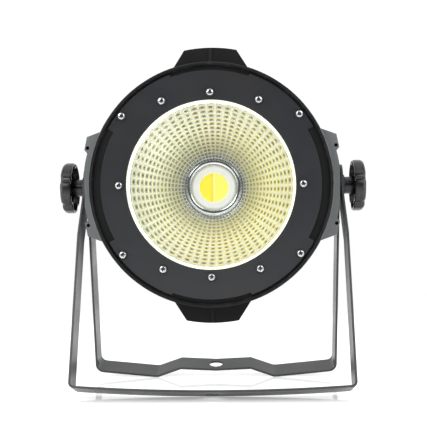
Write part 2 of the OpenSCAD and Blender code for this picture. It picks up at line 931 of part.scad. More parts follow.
module button_down() color("#d6d7d8") key_cap(1);
module button_up() color("#d6d7d8") key_cap(2);
module button_enter() color("#d6d7d8") key_cap(3);

// Panel part of a DMX socket; side is -1 or 1
module dmx_flange(side) {
  slab(y_panel, flange_t) translate([side * dmx_x, 0]) difference() {
    round_rect(dmx_w, dmx_h, 3);
    circle(r = dmx_shell_r - 1.8, $fn = 64);
    for (s = [-1, 1]) {
      translate([s * dmx_bolt[0] / 2, s * dmx_bolt[1] / 2]) circle(r = 1.6, $fn = 24);
    }
  }
}
module dmx_in_socket() color("#1b1b1c") head_frame() {
  dmx_flange(-1);
  difference() {
    rod_y(-dmx_x, y_panel - dmx_depth, 0, dmx_depth + eps, dmx_shell_r, 64);
    rod_y(-dmx_x, y_panel - dmx_depth + 4, 0, dmx_depth + 5, dmx_shell_r - 1.8, 64);
    for (a = [90, 210, 330]) {
      rod_y(-dmx_x + 6.6 * cos(a), y_panel - dmx_depth - 1, 6.6 * sin(a), 10, 1.2 + slip, 24);
    }
  }
}
module dmx_in_pins() color("#d8c27a") head_frame() {
  for (a = [90, 210, 330]) {
    rod_y(-dmx_x + 6.6 * cos(a), y_panel - dmx_depth - 4, 6.6 * sin(a), 20, 1.2, 24);
  }
}
module dmx_out_socket() color("#1b1b1c") head_frame() {
  difference() {
    union() {
      dmx_flange(1);
      rod_y(dmx_x, y_panel - dmx_depth, 0, dmx_depth + eps, dmx_shell_r, 64);
    }
    difference() {
      rod_y(dmx_x, y_panel - dmx_depth + 4, 0, dmx_depth + 5, dmx_shell_r - 1.8, 64);
      rod_y(dmx_x, y_panel - dmx_depth, 0, dmx_depth + 0.5, 7.4, 64);
    }
    for (a = [90, 210, 330]) {
      rod_y(dmx_x + 4.9 * cos(a), y_panel - 14, 4.9 * sin(a), 20, 1.3, 24);
    }
    translate([dmx_x - latch_w / 2 - 0.3, y_panel - 3, latch_z - 0.3]) {
      cube([latch_w + 0.6, 8, latch_h + 0.6]);
    }
  }
}
module dmx_latch() color("#b7b9bb") head_frame() {
  translate([dmx_x - latch_w / 2, y_panel - 1, latch_z]) cube([latch_w, 4.6, latch_h]);
}
module socket_screws() color("#8f9194") head_frame() {
  for (x = [-1, 1], s = [-1, 1]) {
    rear_screw(
      x * dmx_x + s * dmx_bolt[0] / 2, y_panel + flange_t, s * dmx_bolt[1] / 2, 3, 5, 1.6, 8
    );
  }
}

// C14 style opening: a rectangle with its two upper corners cut
module cee_outline(w, h, cut) {
  polygon([
    [-w / 2, -h / 2],
    [w / 2, -h / 2],
    [w / 2, h / 2 - cut],
    [w / 2 - cut, h / 2],
    [-w / 2 + cut, h / 2],
    [-w / 2, h / 2 - cut]
  ]);
}
socket_z = mains_z - 12;
drawer_z = mains_z - 27;
module power_inlet() color("#161617") head_frame() {
  difference() {
    union() {
      slab(y_panel, flange_t) translate([-mains_x, mains_z - inlet_h / 2]) {
        round_rect(mains_w, inlet_h, 2);
      }
      slab(y_panel - mains_depth, mains_depth + eps) translate([-mains_x, 0]) {
        mains_outline(inlet_h, 0);
      }
    }
    slab(y_panel - 16, 20) translate([-mains_x, socket_z]) cee_outline(23.5, 16.2, 4);
    for (p = [[-7, -2], [7, -2], [0, 2.6]]) {
      translate([-mains_x + p[0] - 1.05, y_panel - mains_depth - 1, socket_z + p[1] - 2.05]) {
        cube([2.1, 12, 4.1]);
      }
    }
    translate([-mains_x - 11.2, y_panel - 20, drawer_z - 3.2]) cube([22.4, 30, 6.4]);
  }
}
module inlet_pins() color("#c9cacb") head_frame() {
  for (p = [[-7, -2], [7, -2], [0, 2.6]]) {
    translate([-mains_x + p[0] - 1, y_panel - mains_depth - 5, socket_z + p[1] - 2]) {
      cube([2, mains_depth + 2, 4]);
    }
  }
}
module fuse_drawer() color("#202021") head_frame() {
  difference() {
    union() {
      translate([-mains_x - 10.9, y_panel - 19, drawer_z - 2.9]) cube([21.8, 21.4, 5.8]);
      translate([-mains_x - 10.9, y_panel + flange_t + 0.3, drawer_z - 3.2]) {
        cube([21.8, 1.7, 6.4]);
      }
    }
    translate([-mains_x - 10.3, y_panel - 9, drawer_z - 2.65]) cube([20.6, 5.4, 9]);
    translate([-mains_x - 3, y_panel + flange_t + 1, drawer_z + 2]) cube([6, 3, 3]);
  }
}
module fuse() color("#cfd6d8") head_frame() {
  translate([0, y_panel - 6.3, drawer_z - 0.05]) rod_x(-mains_x - 10, 20, 2.5, 32);
}
module power_outlet() color("#161617") head_frame() {
  outlet_z = mains_z - outlet_h / 2;
  difference() {
    union() {
      slab(y_panel, flange_t) translate([mains_x, outlet_z]) round_rect(mains_w, outlet_h, 2);
      slab(y_panel - mains_depth, mains_depth + eps) translate([mains_x, 0]) {
        mains_outline(outlet_h, 0);
      }
    }
    slab(y_panel - 18, 30) translate([mains_x, outlet_z]) difference() {
      cee_outline(24.4, 17.4, 4.4);
      cee_outline(20.6, 13.6, 3.4);
    }
    for (p = [[-7, -1.6], [7, -1.6], [0, 2.4]]) {
      translate([mains_x + p[0] - 1.15, y_panel - 16, outlet_z + p[1] - 2.15]) {
        cube([2.3, 20, 4.3]);
      }
    }
  }
}

outer_yoke();
inner_yoke();
yoke_washers();
head_washers();
pivot_bushes();
knob_left();
knob_left_stud();
knob_left_washer();
knob_right();
knob_right_stud();
knob_right_washer();
front_housing();
rear_housing();
lug_screws();
front_plate();
plate_screws();
lens_glass();
lens_gasket();
reflector();
throat_ring();
led_frame();
led_board();
phosphor_warm();
phosphor_cool();
led_screws();
core_plate();
core_posts();
core_screws();
heatsink();
heatsink_screws();
fan_frame();
fan_rotor();
fan_guard();
fan_screws();
driver_tray();
driver_board();
transformer();
capacitors();
rear_cover();
cover_screws();
safety_eye();
control_board();
display_module();
display_window();
key_switches();
button_menu();
button_down();
button_up();
button_enter();
dmx_in_socket();
dmx_in_pins();
dmx_out_socket();
dmx_latch();
socket_screws();
power_inlet();
inlet_pins();
fuse_drawer();
fuse();
power_outlet();
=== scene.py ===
import json
import math
import random

import bmesh
import bpy
from bpy.props import FloatProperty, FloatVectorProperty, IntProperty, PointerProperty
from bpy.types import Operator, Panel, PropertyGroup
from mathutils import Matrix, Vector

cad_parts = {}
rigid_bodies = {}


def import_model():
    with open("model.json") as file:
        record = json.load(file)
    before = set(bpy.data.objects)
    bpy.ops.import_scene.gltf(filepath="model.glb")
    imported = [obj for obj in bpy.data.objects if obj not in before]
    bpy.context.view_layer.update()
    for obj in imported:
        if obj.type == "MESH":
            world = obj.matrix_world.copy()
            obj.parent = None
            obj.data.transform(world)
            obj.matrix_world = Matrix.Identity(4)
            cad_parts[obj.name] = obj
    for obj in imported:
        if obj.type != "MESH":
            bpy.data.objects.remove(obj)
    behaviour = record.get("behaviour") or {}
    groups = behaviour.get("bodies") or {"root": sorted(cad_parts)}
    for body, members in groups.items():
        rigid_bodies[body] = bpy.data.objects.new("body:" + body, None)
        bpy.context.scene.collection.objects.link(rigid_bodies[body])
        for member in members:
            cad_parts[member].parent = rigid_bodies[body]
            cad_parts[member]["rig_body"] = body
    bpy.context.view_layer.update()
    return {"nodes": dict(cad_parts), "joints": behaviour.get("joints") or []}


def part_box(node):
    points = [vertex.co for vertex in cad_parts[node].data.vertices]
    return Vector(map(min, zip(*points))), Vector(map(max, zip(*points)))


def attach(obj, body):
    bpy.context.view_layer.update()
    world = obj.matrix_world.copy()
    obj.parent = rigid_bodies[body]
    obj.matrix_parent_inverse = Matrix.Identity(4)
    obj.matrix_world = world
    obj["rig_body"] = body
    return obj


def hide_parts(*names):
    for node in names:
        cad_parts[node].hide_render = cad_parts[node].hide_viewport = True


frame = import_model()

bl_info = {
    "name": "Par can light",
    "version": (1, 0, 0),
    "blender": (4, 5, 0),
    "location": "View3D > Sidebar > Par light",
    "description": "Builds the looks of a par can light around its packed frame",
    "category": "Object",
}

NODES = frame["nodes"]
MM = 0.001
# The tilt axis crosses the lamp's axis here
HEAD = next(Vector(j["pos_m"]) for j in frame["joints"] if j["name"] == "head_tilt")
SMOOTH_ANGLE = math.radians(32)
WHITE = (1.0, 1.0, 1.0, 1.0)


def colour_property(name, text, value):
    return FloatVectorProperty(
        name=name, description=text, default=value, size=3, min=0, max=1, subtype="COLOR"
    )


def length_property(name, text, value):
    return FloatProperty(
        name=name, description=text, default=value * MM, precision=5, subtype="DISTANCE", unit="LENGTH"
    )


# ---------- Settings ----------


class CastingSettings(PropertyGroup):
    colour: colour_property("Paint", "Powder coat on the two castings", (0.004, 0.0042, 0.0045))
    # Painted light: the paler coat of the side lugs is painted on, as if the lugs caught the side light.
    wear_and_painted_light: colour_property("Rubbed coat", "Powder coat of the side lugs, greyed by hands", (0.13, 0.137, 0.14))
    roughness: FloatProperty(name="Roughness", description="Of the powder coat", default=0.4)
    edge: length_property("Edge round", "Round on the castings' edges", 0.45)


class PlateSettings(PropertyGroup):
    colour: colour_property("Enamel", "Gloss enamel on the front plate", (0.02, 0.0225, 0.0255))
    roughness: FloatProperty(name="Roughness", description="Of the enamel", default=0.16)
    edge: length_property("Edge round", "Round on the plate's two edges", 0.35)


class ScrewSettings(PropertyGroup):
    head: length_property("Head", "Diameter of a plate screw's head", 8.0)
    height: length_property("Height", "Height of a plate screw's head", 2.3)
    slot: length_property("Recess", "Width of one arm of the cross recess", 0.95)
    depth: length_property("Depth", "Depth of the cross recess", 1.3)
    colour: colour_property("Plating", "Bright nickel", (0.5, 0.51, 0.52))
    # Painted shade: this dark colour is laid round the foot of each head and in its recess.
    painted_shade_colour: colour_property("Grime", "Dirt round the foot and in the recess", (0.012, 0.012, 0.012))


class ReflectorSettings(PropertyGroup):
    columns: IntProperty(name="Columns", description="Facets round the bowl", default=58, min=12)
    rings: IntProperty(name="Rings", description="Facets from throat to opening", default=15, min=4)
    steps: IntProperty(name="Steps", description="Mesh steps along each side of a facet", default=4, min=2)
    pillow: length_property("Pillow", "How far the middle of a facet stands proud", 0.2)
    lip: length_property("Lip", "Width of the plain edge at the opening", 2.2)
    # Painted highlight: the bright colour along the edges between facets.
    painted_ridge_highlight: colour_property("Ridges", "Bright edges between the facets", (0.98, 0.98, 0.97))
    colour: colour_property("Facets", "Bright metal of the facets", (1.0, 0.99, 0.91))
    # Painted reflection: the dark colour in the middle of each facet.
    painted_dark_reflection: colour_property("Hearts", "Middle of the facets, where the coating is thinnest", (0.2, 0.19, 0.08))
    throat: colour_property("Throat", "Duller metal near the throat", (0.66, 0.65, 0.57))
    # Painted light: the facets' edges and the lip at the opening are made to shine by emission.
    painted_ridge_glow: FloatProperty(name="Stray light", description="Light that the ridges scatter", default=0.3)
    roughness: FloatProperty(name="Roughness", description="Of the bright metal", default=0.2)


class LampSettings(PropertyGroup):
    warm: colour_property("Warm half", "Warm phosphor", (0.98, 0.85, 0.07))
    middle: colour_property("Warm middle", "Warm phosphor beside the split", (1.0, 0.7, 0.06))
    cool: colour_property("Cool half", "Cool phosphor", (0.98, 0.92, 0.17))
    # Painted light: the phosphor and the white frame are made to shine by emission.
    painted_glow: FloatProperty(name="Glow", description="Strength of the phosphor's light", default=0.45)


class YokeSettings(PropertyGroup):
    colour: colour_property("Paint", "Satin enamel on the two yokes", (0.036, 0.038, 0.04))
    roughness: FloatProperty(name="Roughness", description="Of the enamel", default=0.3)
    edge: length_property("Edge round", "Round on the strips' sheared edges", 0.3)


class KnobSettings(PropertyGroup):
    colour: colour_property("Plastic", "Moulded black plastic of the knobs", (0.0035, 0.0035, 0.004))
    lobes: IntProperty(name="Lobes", description="Lobes of the star", default=5, min=3)
    turn: FloatProperty(name="Turn", description="Turn of the star", default=math.radians(15), subtype="ANGLE")
    wall: length_property("Wall", "Wall round the hollow underside", 2.6)
    hollow: length_property("Hollow", "Depth of the hollow underside", 5.8)
    crown: length_property("Crown", "How far the lobes round in at the outer face", 2.4)


class PanelSettings(PropertyGroup):
    edge: length_property("Edge round", "Round on the panel's parts", 0.3)
    cap: length_property("Key dome", "Rise of a key's cap", 0.35)


class FanSettings(PropertyGroup):
    wire: length_property("Wire", "Diameter of the guard's wires", 1.8)
    edge: length_property("Edge round", "Round on the fan's frame and blades", 0.25)


class StageSettings(PropertyGroup):
    camera: FloatVectorProperty(
        name="Camera", description="Place of the camera", default=(0.0254, -0.7769, 0.1606), subtype="TRANSLATION"
    )
    turn: FloatProperty(name="Turn", description="Turn to the left", default=math.radians(1.87), subtype="ANGLE")
    pitch: FloatProperty(name="Pitch", description="Tilt upwards", default=math.radians(-0.16), subtype="ANGLE")
    roll: FloatProperty(name="Roll", description="Turn about the view", default=math.radians(0.58), subtype="ANGLE")
    focal: FloatProperty(name="Focal length", description="On a 36 mm wide sensor", default=69.68)
    backdrop: FloatProperty(name="Backdrop", description="Brightness that the camera sees", default=1.05)
    room: FloatProperty(name="Room", description="Brightness of the room's sides and back", default=1.15)
    ceiling: FloatProperty(name="Ceiling", description="Brightness overhead", default=0.5)
    dark: FloatProperty(name="Dark", description="Brightness behind the camera", default=0.06)
    overhead: FloatProperty(name="Overhead", description="Power of the overhead softbox in watts", default=6.0)
    sides: FloatProperty(name="Sides", description="Power of each side softbox in watts", default=5.0)
    front: FloatProperty(name="Front", description="Power of each front softbox in watts", default=9.0)
    leftward: FloatProperty(name="Leftward", description="Share of that power moved to the left", default=0.2)


SETTINGS = {
    "casting": CastingSettings,
    "plate": PlateSettings,
    "screw": ScrewSettings,
    "reflector": ReflectorSettings,
    "lamp": LampSettings,
    "yoke": YokeSettings,
    "knob": KnobSettings,
    "panel": PanelSettings,
    "fan": FanSettings,
    "stage": StageSettings,
}


def settings(group):
    return getattr(bpy.context.scene, "par_light_" + group)


# ---------- Materials ----------


class Surface:
    """A Principled material with helpers for patterns on Object coordinates, which are in metres."""

    def __init__(self, name):
        self.material = bpy.data.materials.new(name)
        self.material.use_nodes = True
        self.tree = self.material.node_tree
        self.shader = self.tree.nodes["Principled BSDF"]
        self.coords = self.tree.nodes.new("ShaderNodeTexCoord").outputs["Object"]

    def node(self, kind, **values):
        made = self.tree.nodes.new(kind)
        for key, value in values.items():
            setattr(made, key, value)
        return made

    def link(self, source, target):
        self.tree.links.new(source, target)

    def stretched(self, scale):
        """Object coordinates with one axis drawn out, for brushing and turning marks."""
        mapping = self.node("ShaderNodeMapping")
        mapping.inputs["Scale"].default_value = scale
        self.link(self.coords, mapping.inputs["Vector"])
        return mapping.outputs["Vector"]

    def noise(self, size, detail=3.0, vector=None, rough=0.55):
        """Noise whose lumps are about size metres across."""
        made = self.node("ShaderNodeTexNoise")
        made.inputs["Scale"].default_value = 1 / size
        made.inputs["Detail"].default_value = detail
        made.inputs["Roughness"].default_value = rough
        self.link(vector or self.coords, made.inputs["Vector"])
        return made.outputs["Fac"]

    def remap(self, source, lo, hi, from_lo=0.3, from_hi=0.7, smooth=False):
        made = self.node("ShaderNodeMapRange")
        if smooth:
            made.interpolation_type = "SMOOTHSTEP"
        for key, value in zip(("From Min", "From Max", "To Min", "To Max"), (from_lo, from_hi, lo, hi)):
            made.inputs[key].default_value = value
        self.link(source, made.inputs["Value"])
        return made.outputs["Result"]

    def math(self, operation, a, b=None):
        made = self.node("ShaderNodeMath", operation=operation)
        for socket, value in zip(made.inputs, (a, b)):
            if value is None:
                continue
            if isinstance(value, (int, float)):
                socket.default_value = value
            else:
                self.link(value, socket)
        return made.outputs[0]

    def mix(self, factor, a, b):
        """Colour a at factor 0 and b at factor 1; either may be a socket."""
        a, b = (v if isinstance(v, bpy.types.NodeSocket) else (*v[:3], 1) for v in (a, b))
        return self.between("RGBA", "Color", factor, a, b)

    def blend(self, factor, a, b):
        """Number a at factor 0 and b at factor 1; either may be a socket."""
        return self.between("FLOAT", "Float", factor, a, b)

    def between(self, data_type, kind, factor, a, b):
        made = self.node("ShaderNodeMix", data_type=data_type)
        sockets = {s.identifier: s for s in made.inputs}
        self.link(factor, sockets["Factor_Float"])
        for key, value in (("A_" + kind, a), ("B_" + kind, b)):
            if isinstance(value, bpy.types.NodeSocket):
                self.link(value, sockets[key])
            else:
                sockets[key].default_value = value
        return next(s for s in made.outputs if s.identifier == "Result_" + kind)

    def from_axis(self):
        """Distance to either side of the lamp's axis, and straight distance from it."""
        place = self.node("ShaderNodeSeparateXYZ")
        self.link(self.coords, place.inputs[0])
        x = self.math("SUBTRACT", place.outputs["X"], HEAD.x)
        z = self.math("SUBTRACT", place.outputs["Z"], HEAD.z)
        return self.math("ABSOLUTE", x), self.hypot(x, z)

    def hypot(self, a, b):
        return self.math("SQRT", self.math("ADD", self.math("MULTIPLY", a, a), self.math("MULTIPLY", b, b)))

    def show(self, shader):
        """Makes the shader the one that the surface shows."""
        output = next(n for n in self.tree.nodes if n.type == "OUTPUT_MATERIAL")
        self.link(shader.outputs[0], output.inputs["Surface"])

    def bump(self, height, distance, strength=1.0):
        made = self.node("ShaderNodeBump")
        made.inputs["Strength"].default_value = strength
        made.inputs["Distance"].default_value = distance
        self.link(height, made.inputs["Height"])
        self.link(made.outputs["Normal"], self.shader.inputs["Normal"])

    def worn_edges(self, radius, spread):
        """1 on sharp outer edges where the paint has worn through, in patches."""
        bevel = self.node("ShaderNodeBevel", samples=4)
        bevel.inputs["Radius"].default_value = radius
        plain = self.node("ShaderNodeNewGeometry").outputs["Normal"]
        dot = self.node("ShaderNodeVectorMath", operation="DOT_PRODUCT")
        self.link(bevel.outputs["Normal"], dot.inputs[0])
        self.link(plain, dot.inputs[1])
        edge = self.remap(dot.outputs["Value"], 1, 0, 0.72, 0.97)
        patches = self.remap(self.noise(spread), 0, 1, 0.5, 0.68)
        return self.math("MULTIPLY", edge, patches)

    def set(self, **values):
        for key, value in values.items():
            self.shader.inputs[key.replace("_", " ")].default_value = value


def scaled(colour, share):
    return tuple(min(1.0, c * share) for c in colour[:3])


def paint(name, colour, roughness, peel, grain, worn=None, shine=0.35, painted_light_colour=None):
    """Sprayed or powder paint: orange peel, fine grain, dust, worn edges, and, when given, a paler coat on the side
    lugs that is painted side light.
    """
    s = Surface(name)
    s.set(IOR=1.5, Specular_IOR_Level=shine)
    broad = s.noise(0.03, 4)
    dust = s.noise(0.0012, 5)
    base = s.mix(s.remap(broad, 0, 1), scaled(colour, 0.8), scaled(colour, 1.25))
    base = s.mix(s.remap(dust, 0, 0.35, 0.62, 0.8), base, scaled(colour, 3.0))
    rough = s.math("ADD", s.remap(broad, roughness - 0.06, roughness + 0.07), s.remap(dust, 0, 0.1))
    # Painted light: the side lugs are painted paler as if lit from the sides.
    if painted_light_colour:
        base = s.mix(painted_light_lugs(s), base, painted_light_colour)
    if worn:
        edge = s.worn_edges(0.45 * MM, 0.012)
        base = s.mix(edge, base, worn)
        rough = s.blend(edge, rough, 0.42)
    s.link(base, s.shader.inputs["Base Color"])
    s.link(rough, s.shader.inputs["Roughness"])
    height = s.math("ADD", s.noise(peel, 2), s.math("MULTIPLY", s.noise(grain, 3), 0.4))
    s.bump(height, 0.06 * MM, 0.35)
    return s.material


def painted_light_lugs(s):
    """1 on the lugs that stand out at each side of the rim, with an uneven border: where the side light is painted."""
    across, reach = s.from_axis()
    reach = s.math("ADD", reach, s.remap(s.noise(0.008, 3), -0.3 * MM, 0.3 * MM))
    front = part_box("front_housing")[0].y
    rim = max(
        math.hypot(v.co.x - HEAD.x, v.co.z - HEAD.z)
        for v in NODES["front_housing"].data.vertices if v.co.y < front + 1 * MM
    )
    outside = s.remap(reach, 0, 1, rim, rim + 1 * MM)
    return s.math("MULTIPLY", outside, s.remap(across, 0, 1, 78 * MM, 82 * MM))


def metal(name, colour, roughness, stretch=(1, 1, 1), mark=0.6 * MM, depth=0.012 * MM, stain=0.12):
    """Bare or plated metal with tool marks along one axis and faint stains."""
    s = Surface(name)
    s.set(Metallic=1.0)
    stains = s.noise(0.011, 5)
    marks = s.noise(mark, 4, s.stretched(stretch))
    base = s.mix(s.remap(stains, 0, 1), scaled(colour, 1 - stain), scaled(colour, 1 + stain / 2))
    s.link(base, s.shader.inputs["Base Color"])
    rough = s.math("ADD", s.remap(marks, roughness * 0.8, roughness * 1.25), s.remap(stains, 0, 0.06))
    s.link(rough, s.shader.inputs["Roughness"])
    s.bump(marks, depth, 0.6)
    return s.material


def screw_nickel():
    """Bright nickel with painted shade: darker, rougher and less metallic round the foot of each head and in its
    recess.
    """
    look = settings("screw")
    s = Surface("bright_nickel")
    s.set(Metallic=1.0)
    stains = s.noise(0.003, 4)
    foot = s.node("ShaderNodeAttribute", attribute_name="foot").outputs["Fac"]
    # Painted shade towards the foot of the head and in the recess, with an uneven border.
    painted_shade = s.remap(s.math("ADD", foot, s.remap(stains, -0.06, 0.06)), 0, 1, 0.6, 0.76, smooth=True)
    base = s.mix(s.remap(stains, 0, 1), scaled(look.colour, 0.9), scaled(look.colour, 1.1))
    s.link(s.mix(painted_shade, base, look.painted_shade_colour), s.shader.inputs["Base Color"])
    s.link(s.blend(painted_shade, s.remap(stains, 0.14, 0.24), 0.6), s.shader.inputs["Roughness"])
    s.link(s.remap(painted_shade, 1, 0.2, 0, 1), s.shader.inputs["Metallic"])
    s.bump(s.noise(0.4 * MM, 3), 0.01 * MM, 0.4)
    return s.material


def moulded(name, colour, roughness, grain=0.35 * MM, depth=0.02 * MM, mottle=0.15, coat=0.0):
    """Moulded plastic, rubber or ceramic: fine spark grain, flow marks and dust."""
    s = Surface(name)
    s.set(IOR=1.48, Coat_Weight=coat, Coat_Roughness=0.1)
    flow = s.noise(0.009, 3)
    dust = s.noise(0.0007, 4)
    base = s.mix(s.remap(flow, 0, 1), scaled(colour, 1 - mottle), scaled(colour, 1 + mottle))
    s.link(base, s.shader.inputs["Base Color"])
    rough = s.math("ADD", s.remap(flow, roughness - 0.05, roughness + 0.05), s.remap(dust, -0.03, 0.06))
    s.link(rough, s.shader.inputs["Roughness"])
    s.bump(s.noise(grain, 3), depth, 0.5)
    return s.material


def white_ceramic():
    """Glazed ceramic that shines faintly by emission: painted light."""
    material = moulded("white_ceramic", (0.9, 0.88, 0.84), 0.3, 0.3 * MM, 0.01 * MM, 0.03)
    shader = material.node_tree.nodes["Principled BSDF"]
    # Painted light: the frame shines faintly by emission.
    shader.inputs["Emission Color"].default_value = (0.96, 0.92, 0.9, 1)
    shader.inputs["Emission Strength"].default_value = settings("lamp").painted_glow * 0.6
    return material


def plate_enamel():
    look = settings("plate")
    s = Surface("plate_enamel")
    s.set(IOR=1.5, Specular_IOR_Level=0.35)
    broad = s.noise(0.045, 3)
    hue = s.noise(0.06, 2, s.stretched((1, 1, 0.7)))
    warm = (look.colour[0] * 1.2, look.colour[1] * 1.05, look.colour[2] * 0.95)
    base = s.mix(s.remap(hue, 0, 1), look.colour, warm)
    dust = s.noise(0.0009, 5)
    base = s.mix(s.remap(dust, 0, 0.3, 0.64, 0.8), base, scaled(look.colour, 3.2))
    s.link(base, s.shader.inputs["Base Color"])
    smears = s.noise(0.02, 5, s.stretched((1, 1, 3)))
    rough = s.math("ADD", s.remap(broad, look.roughness - 0.03, look.roughness + 0.05), s.remap(smears, 0, 0.06))
    s.link(rough, s.shader.inputs["Roughness"])
    s.bump(s.noise(1.6 * MM, 2), 0.02 * MM, 0.35)
    return s.material


def reflector_metal():
    """Facets with painted highlights along their edges and on the lip, which also shine by emission, and painted dark
    reflections in their middles; darker and yellower towards the throat.
    """
    look = settings("reflector")
    s = Surface("reflector_metal")
    # The emission colour is for the painted light on the facets' edges and the lip.
    s.set(Metallic=1.0, Emission_Color=(1.0, 0.97, 0.88, 1))
    facet = s.node("ShaderNodeSeparateXYZ")
    s.link(s.node("ShaderNodeUVMap", uv_map="facet").outputs["UV"], facet.inputs[0])
    across = s.math("ABSOLUTE", s.math("SUBTRACT", facet.outputs["X"], 0.5))
    along = s.math("ABSOLUTE", s.math("SUBTRACT", facet.outputs["Y"], 0.5))
    reach = s.from_axis()[1]
    opened = s.remap(reach, 0, 1, bowl_throat(), bowl_opening())
    outward = s.remap(opened, 0, 1, 0.12, 0.62, smooth=True)
    lip = s.remap(reach, 0, 1, bowl_opening() - look.lip, bowl_opening() - look.lip + 0.3 * MM)
    uneven = s.remap(s.noise(0.006, 4), -0.05, 0.05)
    far = s.hypot(across, along)
    # Painted dark reflection in the middle of each facet.
    painted_dark_reflection = s.remap(s.math("ADD", far, uneven), 1, 0, 0.12, 0.32, smooth=True)
    # Painted highlight along the edges between facets.
    painted_ridge_highlight = s.remap(s.math("MAXIMUM", across, along), 0, 1, 0.34, 0.47, smooth=True)
    metal_base = s.mix(s.remap(s.noise(0.018, 4), 0, 1), scaled(look.colour, 0.93), scaled(look.colour, 1.04))
    base = s.mix(outward, look.throat, metal_base)
    base = s.mix(s.math("MULTIPLY", painted_dark_reflection, s.remap(outward, 0.35, 0.85, 0, 1)), base, look.painted_dark_reflection)
    base = s.mix(s.math("MULTIPLY", painted_ridge_highlight, s.remap(outward, 0.45, 1, 0, 1)), base, look.painted_ridge_highlight)
    # Painted highlight on the plain lip at the opening.
    base = s.mix(lip, base, look.painted_ridge_highlight)
    s.link(base, s.shader.inputs["Base Color"])
    # Painted light by emission on the facets' edges, three times as strong on the lip.
    painted_ridge_glow = s.math("MULTIPLY", s.math("MULTIPLY", painted_ridge_highlight, s.remap(outward, 0.3, 1, 0, 1)), look.painted_ridge_glow)
    s.link(s.math("MAXIMUM", painted_ridge_glow, s.math("MULTIPLY", lip, look.painted_ridge_glow * 3)), s.shader.inputs["Emission Strength"])
    rough = s.math("ADD", s.remap(painted_ridge_highlight, look.roughness, look.roughness + 0.2, 0, 1), uneven)
    s.link(rough, s.shader.inputs["Roughness"])
    s.bump(s.noise(0.8 * MM, 3), 0.01 * MM, 0.4)
    return s.material


def phosphor(name, colour, painted_glow, middle=None):
    """Silicone with phosphor grains over rows of dies, shining a little by emission: painted light."""
    s = Surface(name)
    # Painted light: the phosphor shines a little by emission.
    s.set(IOR=1.41, Emission_Strength=painted_glow, Subsurface_Weight=0.1, Subsurface_Scale=0.4 * MM)
    grains = s.noise(0.25 * MM, 3)
    dies = s.noise(2.2 * MM, 1)
    base = s.mix(s.remap(grains, 0, 1), scaled(colour, 0.9), scaled(colour, 1.06))
    base = s.mix(s.remap(dies, 0, 0.5), base, scaled(colour, 0.86))
    if middle:
        base = s.mix(s.remap(s.from_axis()[0], 1, 0, 1 * MM, 6 * MM, smooth=True), base, middle)
    s.link(base, s.shader.inputs["Base Color"])
    s.link(base, s.shader.inputs["Emission Color"])
    s.link(s.remap(grains, 0.28, 0.42), s.shader.inputs["Roughness"])
    s.bump(s.math("ADD", grains, s.math("MULTIPLY", dies, 0.5)), 0.03 * MM, 0.5)
    return s.material


def pane():
    """Clear tempered glass: what is behind shows, with a reflection on top and faint smears."""
    s = Surface("tempered_glass")
    s.tree.nodes.remove(s.shader)
    clear = s.node("ShaderNodeBsdfTransparent")
    clear.inputs["Color"].default_value = (0.97, 0.985, 0.98, 1)
    gloss = s.node("ShaderNodeBsdfAnisotropic")
    s.link(s.remap(s.noise(0.014, 5), 0.02, 0.07), gloss.inputs["Roughness"])
    fresnel = s.node("ShaderNodeFresnel")
    fresnel.inputs["IOR"].default_value = 1.45
    mixed = s.node("ShaderNodeMixShader")
    s.link(fresnel.outputs["Fac"], mixed.inputs["Fac"])
    s.link(clear.outputs["BSDF"], mixed.inputs[1])
    s.link(gloss.outputs["BSDF"], mixed.inputs[2])
    s.show(mixed)
    return s.material


def display_window():
    """Smoked red acrylic over unlit seven-segment digits."""
    s = Surface("smoked_red_window")
    s.set(IOR=1.49, Coat_Weight=0.6, Coat_Roughness=0.03)
    cloud = s.noise(0.012, 3)
    base = s.mix(s.remap(cloud, 0, 1), (0.045, 0.004, 0.004), (0.075, 0.008, 0.006))
    s.link(base, s.shader.inputs["Base Color"])
    s.link(s.remap(s.noise(0.003, 5), 0.06, 0.2), s.shader.inputs["Roughness"])
    s.bump(s.noise(1.5 * MM, 2), 0.01 * MM, 0.3)
    return s.material


